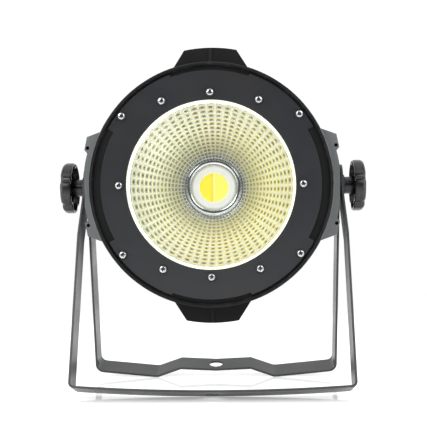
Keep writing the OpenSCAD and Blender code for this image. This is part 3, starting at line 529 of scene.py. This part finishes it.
# Every material slot of the record, and how its finish is made
def make_finishes():
    casting, yoke, knob = settings("casting"), settings("yoke"), settings("knob")
    lamp = settings("lamp")
    wear_and_painted_light = (0.16, 0.16, 0.165)
    return {
        # The castings' worn edges are real wear; their paler side lugs are painted side light.
        "housing_paint": paint(
            "powder_coat", casting.colour, casting.roughness, 1.1 * MM, 0.3 * MM, wear_and_painted_light, 0.16, casting.wear_and_painted_light
        ),
        "plate_gloss": plate_enamel(),
        "yoke_paint": paint("yoke_enamel", yoke.colour, yoke.roughness, 1.6 * MM, 0.25 * MM, (0.2, 0.2, 0.2)),
        "screw_plate": screw_nickel(),
        "screw_black": metal("black_oxide", (0.06, 0.06, 0.062), 0.35),
        "zinc_steel": metal("bright_zinc", (0.62, 0.63, 0.66), 0.24, (1, 3, 1)),
        "brass": metal("turned_brass", (0.72, 0.52, 0.24), 0.22, (6, 1, 1)),
        "fibre": moulded("black_fibre", (0.014, 0.014, 0.014), 0.7, 0.5 * MM, 0.05 * MM),
        "glass": pane(),
        "silicone": moulded("white_silicone", (0.74, 0.75, 0.73), 0.5, 0.6 * MM),
        "reflector_metal": reflector_metal(),
        "throat_chrome": metal("polished_throat", (0.8, 0.81, 0.82), 0.07, mark=0.5 * MM, depth=0.004 * MM),
        "white_ceramic": white_ceramic(),
        "phosphor_warm": phosphor("phosphor_warm", lamp.warm, lamp.painted_glow, lamp.middle),
        "phosphor_cool": phosphor("phosphor_cool", lamp.cool, lamp.painted_glow),
        "bare_aluminium": metal("milled_aluminium", (0.72, 0.73, 0.74), 0.3, (1, 1, 9), 0.8 * MM),
        "black_plastic": moulded("black_moulding", (0.014, 0.014, 0.015), 0.45),
        "knob_plastic": moulded("knob_moulding", knob.colour, 0.22, 0.5 * MM, 0.01 * MM, 0.15),
        "circuit_board": moulded("solder_mask", (0.012, 0.09, 0.04), 0.28, 0.9 * MM, 0.03 * MM, 0.25),
        "winding": moulded("taped_coil", (0.34, 0.24, 0.07), 0.45, 1.2 * MM, 0.06 * MM, 0.2),
        "capacitor_sleeve": moulded("shrink_sleeve", (0.02, 0.04, 0.1), 0.25, 1.0 * MM, 0.02 * MM),
        "display_red": display_window(),
        "key_grey": moulded("key_caps", (0.5, 0.51, 0.52), 0.42, 0.3 * MM, 0.015 * MM, 0.06),
        "contact_gold": metal("plated_contacts", (0.86, 0.66, 0.3), 0.18),
    }


FINISHES = {}


# ---------- Modelling helpers ----------


def sharp_edges(bm, angle):
    return [
        e for e in bm.edges if len(e.link_faces) == 2 and e.calc_face_angle(0.0) > angle
    ]


def soften(bm, width, segments=2, angle=math.radians(38)):
    """Rounds the edges that are sharper than angle."""
    edges = sharp_edges(bm, angle)
    if edges and width > 0:
        bmesh.ops.bevel(
            bm, geom=edges, offset=width, offset_type="OFFSET", segments=segments, profile=0.5,
            affect="EDGES", clamp_overlap=True, material=-1,
        )


def new_piece(bm, name, body, slot, *replaced):
    """Makes the mesh a piece that rides on a body, takes a slot's finish and stands for CAD nodes."""
    mesh = bpy.data.meshes.new(name)
    bm.to_mesh(mesh)
    bm.free()
    mesh.polygons.foreach_set("use_smooth", [True] * len(mesh.polygons))
    mesh.set_sharp_from_angle(angle=SMOOTH_ANGLE)
    mesh.materials.append(FINISHES[slot])
    piece = bpy.data.objects.new(name, mesh)
    bpy.context.scene.collection.objects.link(piece)
    even = piece.modifiers.new("even_normals", "WEIGHTED_NORMAL")
    even.keep_sharp = True
    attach(piece, body)
    if replaced:
        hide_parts(*replaced)
    return piece


def body_of_node(node):
    return NODES[node]["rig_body"]


def cad_copy(node):
    """A merged copy of a CAD node's mesh, with its flat faces whole."""
    bm = bmesh.new()
    bm.from_mesh(NODES[node].data)
    bmesh.ops.remove_doubles(bm, verts=bm.verts, dist=2e-6)
    bmesh.ops.dissolve_limit(
        bm, angle_limit=math.radians(0.4), verts=bm.verts, edges=bm.edges, use_dissolve_boundaries=False,
    )
    return bm


def refined(node, name, slot, width, segments=2):
    """A CAD node's shape with its edges rounded."""
    bm = cad_copy(node)
    soften(bm, width, segments)
    return new_piece(bm, name, body_of_node(node), slot, node)


def dress(slot, *nodes):
    """Gives CAD nodes that stay as they are their finish."""
    for node in nodes:
        mesh = NODES[node].data
        mesh.materials.clear()
        mesh.materials.append(FINISHES[slot])


def outline_edges(bm, points, closed=True):
    verts = [bm.verts.new(p) for p in points]
    pairs = zip(verts, verts[1:] + (verts[:1] if closed else []))
    return verts, [bm.edges.new(pair) for pair in pairs]


def spin_outline(bm, points, centre, axis, steps, closed=True):
    """Turns an outline a whole turn about an axis and closes its seam."""
    verts, edges = outline_edges(bm, points, closed)
    bmesh.ops.spin(
        bm, geom=verts + edges, cent=centre, axis=axis, dvec=(0, 0, 0), angle=math.tau,
        steps=steps, use_merge=True, use_duplicate=False,
    )
    bmesh.ops.remove_doubles(bm, verts=bm.verts, dist=1e-7)
    bmesh.ops.recalc_face_normals(bm, faces=bm.faces)


def turned(points, steps=180, centre=None, closed=True):
    """A shape turned about a line along Y through centre, from (radius, y) pairs in metres."""
    centre = centre or HEAD
    bm = bmesh.new()
    spin_outline(bm, [(centre.x, y, centre.z + r) for r, y in points], centre, (0, 1, 0), steps, closed)
    return bm


def loft(bm, edges, steps, centre, along):
    """Draws an edge loop through (shift, scale) steps and gives the last loop's edges."""
    for shift, scale in steps:
        grown = bmesh.ops.extrude_edge_only(bm, edges=edges)["geom"]
        verts = [g for g in grown if isinstance(g, bmesh.types.BMVert)]
        edges = [g for g in grown if isinstance(g, bmesh.types.BMEdge)]
        across = Matrix.Diagonal([1 if a else scale for a in along]).to_4x4()
        bmesh.ops.scale(bm, vec=across.to_scale(), verts=verts, space=Matrix.Translation(-centre))
        bmesh.ops.translate(bm, vec=Vector(along) * shift, verts=verts)
    return edges


def radius(node):
    lo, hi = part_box(node)
    return (hi.x - lo.x) / 2


def remove_shape(target, cutter):
    """Cuts one bmesh out of another with an exact boolean."""
    made = []
    for name, bm in (("target", target), ("cutter", cutter)):
        mesh = bpy.data.meshes.new(name)
        bm.to_mesh(mesh)
        bm.free()
        made.append(bpy.data.objects.new(name, mesh))
        bpy.context.scene.collection.objects.link(made[-1])
    cut = made[0].modifiers.new("cut", "BOOLEAN")
    cut.operation, cut.solver, cut.object = "DIFFERENCE", "EXACT", made[1]
    bpy.context.view_layer.update()
    result = bmesh.new()
    result.from_object(made[0], bpy.context.evaluated_depsgraph_get())
    for o in made:
        mesh = o.data
        bpy.data.objects.remove(o)
        bpy.data.meshes.remove(mesh)
    return result


# ---------- Pieces ----------


class PARLIGHT_OT_castings(Operator):
    """The front and rear castings, with rounded edges under powder coat"""

    bl_idname = "parlight.castings"
    bl_label = "Castings"

    def execute(self, context):
        edge = settings("casting").edge
        refined("front_housing", "front_casting", "housing_paint", edge, 3)
        refined("rear_housing", "rear_casting", "housing_paint", edge)
        return {"FINISHED"}


class PARLIGHT_OT_front_plate(Operator):
    """The enamelled plate round the light opening"""

    bl_idname = "parlight.front_plate"
    bl_label = "Front plate"

    def execute(self, context):
        refined("front_plate", "face_plate", "plate_gloss", settings("plate").edge, 3)
        return {"FINISHED"}


def screw_head(look):
    """A domed pan head with a cross recess, its seat at the origin and its top towards -Y."""
    r, h = look.head / 2, look.height
    dome = [(0, -h), (r * 0.3, -h * 0.985), (r * 0.55, -h * 0.92), (r * 0.76, -h * 0.78), (r * 0.9, -h * 0.56)]
    rim = [(r * 0.98, -h * 0.32), (r, -h * 0.12), (r * 0.99, 0), (0, 0)]
    head = turned(dome + rim, 40, Vector((0, 0, 0)))
    cutter = bmesh.new()
    for turn in (0, math.pi / 2):
        arm = bmesh.ops.create_cube(cutter, size=1)["verts"]
        bmesh.ops.scale(cutter, vec=(r * 1.16, look.depth * 2, look.slot), verts=arm)
        for v in arm:
            if v.co.y > 0:
                v.co.x *= 0.55
        bmesh.ops.rotate(cutter, cent=(0, 0, 0), matrix=Matrix.Rotation(turn, 3, "Y"), verts=arm)
        bmesh.ops.translate(cutter, vec=(0, -h, 0), verts=arm)
        head = remove_shape(head, cutter)
        cutter = bmesh.new()
    cutter.free()
    # This weight places the painted shade: the reach from the axis, and 1 in the recess.
    foot = head.verts.layers.float.new("foot")
    for v in head.verts:
        reach = math.hypot(v.co.x, v.co.z) / r
        v[foot] = 1.0 if reach < 0.6 and v.co.y > 0.35 * MM - h else reach
    return head


def islands(node):
    """The boxes of a CAD node's separate solids, as (lowest, highest) corners."""
    bm = bmesh.new()
    bm.from_mesh(NODES[node].data)
    bmesh.ops.remove_doubles(bm, verts=bm.verts, dist=2e-6)
    found, todo = [], set(bm.verts)
    while todo:
        stack, group = [todo.pop()], []
        while stack:
            v = stack.pop()
            group.append(v.co.copy())
            for e in v.link_edges:
                w = e.other_vert(v)
                if w in todo:
                    todo.remove(w)
                    stack.append(w)
        lo = Vector(min(c[i] for c in group) for i in range(3))
        hi = Vector(max(c[i] for c in group) for i in range(3))
        found.append((lo, hi))
    bm.free()
    return sorted(found, key=lambda b: tuple(round(c, 5) for c in b[0] + b[1]))


class PARLIGHT_OT_plate_screws(Operator):
    """Twelve bright pan heads with cross recesses"""

    bl_idname = "parlight.plate_screws"
    bl_label = "Plate screws"

    def execute(self, context):
        look = settings("screw")
        head = screw_head(look)
        pattern = bpy.data.meshes.new("screw_pattern")
        head.to_mesh(pattern)
        head.free()
        chance = random.Random(12)
        bm = bmesh.new()
        for lo, hi in islands("plate_screws"):
            start = len(bm.verts)
            bm.from_mesh(pattern)
            verts = bm.verts[:][start:]
            turn = Matrix.Rotation(chance.uniform(0, math.pi / 2), 3, "Y")
            bmesh.ops.rotate(bm, cent=(0, 0, 0), matrix=turn, verts=verts)
            seat = Vector(((lo.x + hi.x) / 2, lo.y + look.height, (lo.z + hi.z) / 2))
            bmesh.ops.translate(bm, vec=seat, verts=verts)
        bpy.data.meshes.remove(pattern)
        new_piece(bm, "plate_screw_heads", "head", "screw_plate", "plate_screws")
        return {"FINISHED"}


class PARLIGHT_OT_reflector(Operator):
    """The faceted bowl"""

    bl_idname = "parlight.reflector"
    bl_label = "Reflector"

    def execute(self, context):
        look = settings("reflector")
        lo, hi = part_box("reflector")
        r_throat, r_open = bowl_throat(), bowl_opening()
        y_open, y_throat = lo.y, hi.y
        columns, rings, steps = look.columns, look.rings, look.steps

        def wall_at(k):
            r = r_throat + (r_open - r_throat) * k
            depth = (r * r - r_throat**2) / (r_open**2 - r_throat**2)
            return r, y_throat + (y_open - y_throat) * depth

        def corner(column, ring):
            r, y = wall_at(ring / rings)
            a = math.tau * column / columns
            return Vector((HEAD.x + r * math.cos(a), y, HEAD.z + r * math.sin(a)))

        def facet_of(place):
            i, j = (place.x + 0.5) * columns, (place.y + 0.5) * rings
            return i, j, min(int(i), columns - 1), min(int(j), rings - 1)

        bm = bmesh.new()
        bmesh.ops.create_grid(bm, x_segments=columns * steps, y_segments=rings * steps, size=0.5)
        pattern = bm.loops.layers.uv.new("facet")
        for face in bm.faces:
            column, ring = facet_of(face.calc_center_median())[2:]
            for loop in face.loops:
                i, j = facet_of(loop.vert.co)[:2]
                loop[pattern].uv = (i - column, j - ring)
        on_edge = bm.verts.layers.int.new("edge")
        for v in bm.verts:
            i, j, column, ring = facet_of(v.co + Vector((1e-6, 1e-6, 0)))
            p, q = round((i - column) * steps) / steps, round((j - ring) * steps) / steps
            a, b = corner(column, ring), corner(column + 1, ring)
            c, d = corner(column, ring + 1), corner(column + 1, ring + 1)
            flat = (a * (1 - p) + b * p) * (1 - q) + (c * (1 - p) + d * p) * q
            inward = (b - a).cross(c - a).normalized()
            bulge = look.pillow * (1 - (2 * p - 1) ** 2) * (1 - (2 * q - 1) ** 2)
            v[on_edge] = (p in (0, 1)) + 2 * (q in (0, 1))
            v.co = flat + inward * bulge
        bmesh.ops.remove_doubles(bm, verts=bm.verts, dist=1e-6)
        for e in bm.edges:
            u, w = e.verts
            if u[on_edge] & w[on_edge]:
                e.smooth = False
        rim = [e for e in bm.edges if len(e.link_faces) == 1 and e.verts[0].co.y < (y_open + y_throat) / 2]
        centre = Vector((HEAD.x, 0, HEAD.z))
        thick = 0.8 * MM
        path = [(0, radius("reflector") / r_open), (thick, 1)]
        for k in range(10, -1, -1):
            r, y = wall_at(k / 10)
            path.append((y - y_open, (r + thick) / r_open))
        at_y, at_r = 0.0, 1.0
        for shift, share in path:
            rim = loft(bm, rim, [(shift - at_y, share / at_r)], centre, (0, 1, 0))
            at_y, at_r = shift, share
        bmesh.ops.bridge_loops(bm, edges=[e for e in bm.edges if len(e.link_faces) == 1])
        bmesh.ops.recalc_face_normals(bm, faces=bm.faces)
        piece = new_piece(bm, "faceted_bowl", "head", "reflector_metal", "reflector")
        piece.modifiers.clear()
        return {"FINISHED"}


def bowl_throat():
    """Inside radius of the bowl at its throat."""
    return min(math.hypot(v.co.x - HEAD.x, v.co.z - HEAD.z) for v in NODES["reflector"].data.vertices)


def bowl_opening():
    """Inside radius of the bowl at its opening."""
    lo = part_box("reflector")[0]
    front = [v.co for v in NODES["reflector"].data.vertices if v.co.y < lo.y + 0.1 * MM]
    return min(math.hypot(c.x - HEAD.x, c.z - HEAD.z) for c in front)


class PARLIGHT_OT_lamp(Operator):
    """The light source: throat ring, white frame and the two phosphor halves"""

    bl_idname = "parlight.lamp"
    bl_label = "Light source"

    def execute(self, context):
        refined("throat_ring", "bright_throat", "throat_chrome", 0.25 * MM, 3)
        lo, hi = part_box("led_frame")
        edge, bore = radius("led_frame"), (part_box("phosphor_cool")[1].x - HEAD.x) + 0.2 * MM
        steps = [
            (bore, hi.y), (edge, hi.y), (edge, lo.y + 0.5 * MM), (edge - 0.9 * MM, lo.y),
            (bore + 1.4 * MM, lo.y + 0.35 * MM), (bore, lo.y + 0.75 * MM),
        ]
        bm = turned(steps, 144)
        soften(bm, 0.2 * MM, 3)
        new_piece(bm, "white_frame", "head", "white_ceramic", "led_frame")
        for node, slot in (("phosphor_warm", "phosphor_warm"), ("phosphor_cool", "phosphor_cool")):
            bm = cad_copy(node)
            soften(bm, 0.18 * MM, 2)
            new_piece(bm, node.replace("phosphor", "phosphor_half"), "head", slot, node)
        dress("white_ceramic", "led_board")
        dress("zinc_steel", "led_screws")
        return {"FINISHED"}


class PARLIGHT_OT_lens(Operator):
    """The glass over the bowl, and its gasket"""

    bl_idname = "parlight.lens"
    bl_label = "Lens"

    def execute(self, context):
        lo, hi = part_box("lens_glass")
        r = radius("lens_glass")
        bm = turned([(0, lo.y), (r, lo.y), (r, hi.y), (0, hi.y)], 144)
        soften(bm, 0.5 * MM, 3)
        new_piece(bm, "lens_pane", "head", "glass", "lens_glass")
        dress("silicone", "lens_gasket")
        return {"FINISHED"}


class PARLIGHT_OT_yokes(Operator):
    """The two bent steel strips and the fibre washers in their pivots"""

    bl_idname = "parlight.yokes"
    bl_label = "Yokes"

    def execute(self, context):
        edge = settings("yoke").edge
        refined("outer_yoke", "front_strip", "yoke_paint", edge, 3)
        refined("inner_yoke", "rear_strip", "yoke_paint", edge, 3)
        refined("yoke_washers", "strip_washers", "fibre", 0.2 * MM)
        refined("head_washers", "lug_washers", "fibre", 0.2 * MM)
        dress("brass", "pivot_bushes")
        return {"FINISHED"}


class PARLIGHT_OT_knobs(Operator):
    """The two star knobs with crowned lobes and hollow undersides"""

    bl_idname = "parlight.knobs"
    bl_label = "Knobs"

    def execute(self, context):
        for side in ("left", "right"):
            self.knob(side, -1 if side == "left" else 1)
            refined(f"knob_{side}_washer", f"{side}_loose_washer", "screw_black", 0.2 * MM)
            dress("zinc_steel", f"knob_{side}_stud")
        return {"FINISHED"}

    def knob(self, side, sign):
        look = settings("knob")
        node = f"knob_{side}"
        lo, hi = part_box(node)
        seat, end = (lo.x, hi.x) if sign > 0 else (hi.x, lo.x)
        places = [(abs(v.co.x - seat), math.hypot(v.co.y - HEAD.y, v.co.z - HEAD.z)) for v in NODES[node].data.vertices]
        star_r = max(r for _, r in places)
        hub_r = min(r for x, r in places if x < 0.1 * MM and r > 6 * MM)
        star_x = min(x for x, r in places if r > hub_r + 1 * MM)
        height = abs(end - seat) - star_x
        centre = Vector((0, HEAD.y, HEAD.z))
        bm = bmesh.new()
        ring = bmesh.ops.create_circle(bm, segments=look.lobes * 24, radius=star_r)["verts"]
        notch_r, notch_at = star_r * 0.25, star_r * 1.12
        for v in ring:
            a = math.atan2(v.co.y, v.co.x)
            step = math.tau / look.lobes
            off = abs(((a - look.turn) / step + 0.5) % 1 - 0.5) * step
            reach = star_r
            if notch_at * math.sin(off) < notch_r:
                reach = min(reach, notch_at * math.cos(off) - math.sqrt(notch_r**2 - (notch_at * math.sin(off)) ** 2))
            soft = 0.35 * MM
            reach = reach if reach < star_r - soft else star_r - soft * max(0, 1 - (off / step) * 2.2) ** 2
            v.co = Vector((0, HEAD.y + reach * math.cos(a), HEAD.z + reach * math.sin(a)))
        start = seat + sign * (star_x + look.hollow)
        for v in ring:
            v.co.x = start
        floor = list(bm.edges)
        bmesh.ops.scale(bm, vec=(1, 0.3, 0.3), verts=ring, space=Matrix.Translation(-centre))
        inner = 1 - look.wall / star_r
        crown = look.crown / star_r
        path = [
            (look.hollow, inner / 1.06), (look.hollow - 1.2 * MM, inner / 1.02), (0.6 * MM, inner),
            (0.0, inner + 0.03), (0.0, 0.965), (0.7 * MM, 0.995), (1.6 * MM, 1.0),
            (height * 0.62, 1.0), (height * 0.8, 1 - crown * 0.28), (height * 0.92, 1 - crown * 0.75),
            (height * 0.98, 1 - crown * 1.4), (height, 1 - crown * 2.2), (height, 0.62),
            (height - 0.5 * MM, 0.58), (height - 0.5 * MM, 0.3),
        ]
        bmesh.ops.edgeloop_fill(bm, edges=floor)
        edges, at_x, at_s = floor, look.hollow, 0.3
        for x, s in path:
            edges = loft(bm, edges, [((x - at_x) * sign, s / at_s)], centre, (1, 0, 0))
            at_x, at_s = x, s
        bmesh.ops.edgeloop_fill(bm, edges=edges)
        bmesh.ops.recalc_face_normals(bm, faces=bm.faces)
        hub_end = seat + sign * (star_x + look.hollow + 0.5 * MM)
        hub = [
            (seat, 4.1 * MM), (seat, hub_r - 0.6 * MM), (seat + sign * 0.6 * MM, hub_r),
            (hub_end, hub_r + 0.3 * MM), (hub_end, 4.1 * MM),
        ]
        part = bmesh.new()
        spin_outline(part, [(x, HEAD.y, HEAD.z + r) for x, r in hub], HEAD, (1, 0, 0), 64)
        joined = bpy.data.meshes.new("hub")
        part.to_mesh(joined)
        part.free()
        bm.from_mesh(joined)
        bpy.data.meshes.remove(joined)
        new_piece(bm, f"{side}_star_knob", node, "knob_plastic", node)


class PARLIGHT_OT_rear_panel(Operator):
    """The rear panel with its display, keys, sockets and screws"""

    bl_idname = "parlight.rear_panel"
    bl_label = "Rear panel"

    def execute(self, context):
        look = settings("panel")
        refined("rear_cover", "rear_panel", "housing_paint", look.edge)
        refined("safety_eye", "safety_loop", "zinc_steel", 0.3 * MM)
        for node, name, slot in (
            ("dmx_in_socket", "data_inlet", "black_plastic"),
            ("dmx_out_socket", "data_outlet", "black_plastic"),
            ("dmx_latch", "data_latch", "zinc_steel"),
            ("power_inlet", "mains_inlet", "black_plastic"),
            ("power_outlet", "mains_outlet", "black_plastic"),
            ("fuse_drawer", "fuse_tray", "black_plastic"),
            ("display_window", "display_pane", "display_red"),
        ):
            refined(node, name, slot, look.edge)
        for key in ("menu", "down", "up", "enter"):
            self.key_cap(key, look)
        dress("contact_gold", "dmx_in_pins")
        dress("zinc_steel", "inlet_pins", "key_switches")
        dress("glass", "fuse")
        dress("black_plastic", "display_module")
        dress("circuit_board", "control_board")
        for node, name in (("cover_screws", "panel_screw_heads"), ("socket_screws", "socket_screw_heads")):
            refined(node, name, "screw_black", 0.12 * MM)
        return {"FINISHED"}

    def key_cap(self, key, look):
        node = "button_" + key
        lo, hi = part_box(node)
        centre = (lo + hi) / 2
        r = (hi.x - lo.x) / 2
        cap = [
            (0, hi.y), (r * 0.5, hi.y - look.cap * 0.2), (r * 0.82, hi.y - look.cap * 0.7), (r, hi.y - look.cap * 1.8),
            (r, lo.y), (0, lo.y),
        ]
        bm = turned(cap, 48, centre)
        new_piece(bm, key + "_cap", node, "key_grey", node)


class PARLIGHT_OT_fan(Operator):
    """The fan, its rotor and the wire guard over it"""

    bl_idname = "parlight.fan"
    bl_label = "Fan"

    def execute(self, context):
        look = settings("fan")
        refined("fan_frame", "fan_case", "black_plastic", look.edge)
        refined("fan_rotor", "fan_blades", "black_plastic", look.edge)
        refined("fan_guard", "wire_guard", "screw_black", look.wire * 0.28, 3)
        refined("fan_screws", "guard_screws", "screw_black", 0.15 * MM)
        refined("lug_screws", "casting_screws", "screw_black", 0.12 * MM)
        return {"FINISHED"}


class PARLIGHT_OT_inside(Operator):
    """Finishes of the parts inside the head"""

    bl_idname = "parlight.inside"
    bl_label = "Inner parts"

    def execute(self, context):
        dress("bare_aluminium", "core_plate", "heatsink", "driver_tray")
        dress("zinc_steel", "core_posts", "core_screws", "heatsink_screws")
        dress("circuit_board", "driver_board")
        dress("winding", "transformer")
        dress("capacitor_sleeve", "capacitors")
        return {"FINISHED"}


# ---------- Stage ----------


def studio_world(look):
    """White to the camera; to the object a white room whose front, behind the camera, is dark."""
    world = bpy.data.worlds.new("white_studio")
    bpy.context.scene.world = world
    world.use_nodes = True
    nodes, links = world.node_tree.nodes, world.node_tree.links
    seen = nodes["Background"]
    seen.inputs["Color"].default_value = WHITE
    seen.inputs["Strength"].default_value = look.backdrop
    room = nodes.new("ShaderNodeBackground")
    room.inputs["Color"].default_value = WHITE
    coords = nodes.new("ShaderNodeTexCoord")
    split = nodes.new("ShaderNodeSeparateXYZ")
    links.new(coords.outputs["Generated"], split.inputs["Vector"])
    across = nodes.new("ShaderNodeMath")
    across.operation = "ABSOLUTE"
    links.new(split.outputs["X"], across.inputs[0])
    parts = []
    for source, start, end, bright in (
        (across.outputs[0], 0.3, 0.75, look.room),
        (split.outputs["Z"], 0.3, 0.85, look.ceiling),
        (split.outputs["Y"], -0.1, 0.6, look.room),
    ):
        band = nodes.new("ShaderNodeMapRange")
        band.interpolation_type = "SMOOTHSTEP"
        for key, value in (("From Min", start), ("From Max", end), ("To Min", look.dark), ("To Max", bright)):
            band.inputs[key].default_value = value
        links.new(source, band.inputs["Value"])
        parts.append(band.outputs["Result"])
    total = parts[0]
    for part in parts[1:]:
        most = nodes.new("ShaderNodeMath")
        most.operation = "MAXIMUM"
        links.new(total, most.inputs[0])
        links.new(part, most.inputs[1])
        total = most.outputs[0]
    links.new(total, room.inputs["Strength"])
    path = nodes.new("ShaderNodeLightPath")
    mixed = nodes.new("ShaderNodeMixShader")
    links.new(path.outputs["Is Camera Ray"], mixed.inputs["Fac"])
    links.new(room.outputs["Background"], mixed.inputs[1])
    links.new(seen.outputs["Background"], mixed.inputs[2])
    links.new(mixed.outputs["Shader"], nodes["World Output"].inputs["Surface"])


def softbox(name, place, target, size, power):
    data = bpy.data.lights.new(name, "AREA")
    data.shape, data.size, data.size_y, data.energy = "RECTANGLE", size[0], size[1], power
    lamp = bpy.data.objects.new(name, data)
    lamp.location = place
    lamp.rotation_euler = (Vector(target) - Vector(place)).to_track_quat("-Z", "Y").to_euler()
    lamp.visible_camera = False
    bpy.context.scene.collection.objects.link(lamp)


def floor_material():
    s = Surface("studio_floor")
    s.set(IOR=2.0, Emission_Color=WHITE, Emission_Strength=0.3)
    cloud = s.noise(0.4, 3)
    s.link(s.mix(s.remap(cloud, 0, 1), (0.93, 0.93, 0.93), (0.96, 0.96, 0.96)), s.shader.inputs["Base Color"])
    s.link(s.remap(cloud, 0.0, 0.03), s.shader.inputs["Roughness"])
    length = s.node("ShaderNodeVectorMath", operation="LENGTH")
    s.link(s.coords, length.inputs[0])
    far = s.remap(length.outputs["Value"], 0, 1, 0.38, 0.62, smooth=True)
    seen = s.math("MULTIPLY", far, s.node("ShaderNodeLightPath").outputs["Is Camera Ray"])
    white = s.node("ShaderNodeEmission")
    mixed = s.node("ShaderNodeMixShader")
    s.link(seen, mixed.inputs["Fac"])
    s.link(s.shader.outputs["BSDF"], mixed.inputs[1])
    s.link(white.outputs["Emission"], mixed.inputs[2])
    s.show(mixed)
    return s.material


class PARLIGHT_OT_stage(Operator):
    """Pale floor, soft studio light and the camera"""

    bl_idname = "parlight.stage"
    bl_label = "Stage"

    def execute(self, context):
        look = settings("stage")
        scene = context.scene
        bm = bmesh.new()
        bmesh.ops.create_grid(bm, x_segments=1, y_segments=1, size=30)
        mesh = bpy.data.meshes.new("floor")
        bm.to_mesh(mesh)
        bm.free()
        mesh.materials.append(floor_material())
        floor = bpy.data.objects.new("floor", mesh)
        scene.collection.objects.link(floor)
        studio_world(look)
        softbox("overhead", (0, -0.15, 1.5), HEAD, (1.6, 1.2), look.overhead)
        for side in (-1, 1):
            softbox(f"side_{side}", (side * 1.1, -0.35, 0.45), HEAD, (0.5, 1.1), look.sides)
        for side in (-1, 1):
            power = look.front * (1 - side * look.leftward)
            softbox(f"front_{side}", (side * 0.75, -1.2, 0.9), HEAD, (0.8, 0.8), power)
        scene.view_settings.view_transform = "Standard"
        data = bpy.data.cameras.new("camera")
        data.sensor_width, data.lens = 36, look.focal
        data.clip_start, data.clip_end = 0.01, 100
        camera = bpy.data.objects.new("camera", data)
        turn, pitch, roll = look.turn, look.pitch, look.roll
        forward = Vector((-math.sin(turn) * math.cos(pitch), math.cos(turn) * math.cos(pitch), math.sin(pitch)))
        side = Vector((math.cos(turn), math.sin(turn), 0))
        up = side.cross(forward)
        right = side * math.cos(roll) - up * math.sin(roll)
        top = side * math.sin(roll) + up * math.cos(roll)
        axes = Matrix((right, top, -forward)).transposed().to_4x4()
        camera.matrix_world = Matrix.Translation(Vector(look.camera)) @ axes
        scene.collection.objects.link(camera)
        scene.camera = camera
        return {"FINISHED"}


OPERATORS = (
    PARLIGHT_OT_castings,
    PARLIGHT_OT_front_plate,
    PARLIGHT_OT_plate_screws,
    PARLIGHT_OT_reflector,
    PARLIGHT_OT_lamp,
    PARLIGHT_OT_lens,
    PARLIGHT_OT_yokes,
    PARLIGHT_OT_knobs,
    PARLIGHT_OT_rear_panel,
    PARLIGHT_OT_fan,
    PARLIGHT_OT_inside,
    PARLIGHT_OT_stage,
)


class PARLIGHT_PT_pieces(Panel):
    """Lists the pieces in the order they are built"""

    bl_label = "Par light"
    bl_space_type = "VIEW_3D"
    bl_region_type = "UI"
    bl_category = "Par light"

    def draw(self, context):
        for operator in OPERATORS:
            self.layout.operator(operator.bl_idname)
        for group in SETTINGS:
            box = self.layout.box()
            box.label(text=group.capitalize())
            values = settings(group)
            for name in values.bl_rna.properties.keys():
                if name not in ("name", "rna_type"):
                    box.prop(values, name)


def register():
    for group, cls in SETTINGS.items():
        bpy.utils.register_class(cls)
        setattr(bpy.types.Scene, "par_light_" + group, PointerProperty(type=cls))
    for cls in (*OPERATORS, PARLIGHT_PT_pieces):
        bpy.utils.register_class(cls)


def unregister():
    for cls in (PARLIGHT_PT_pieces, *reversed(OPERATORS)):
        bpy.utils.unregister_class(cls)
    for group, cls in SETTINGS.items():
        delattr(bpy.types.Scene, "par_light_" + group)
        bpy.utils.unregister_class(cls)


def main():
    register()
    FINISHES.update(make_finishes())
    for operator in OPERATORS:
        package, name = operator.bl_idname.split(".")
        getattr(getattr(bpy.ops, package), name)()


if __name__ == "__main__":
    main()
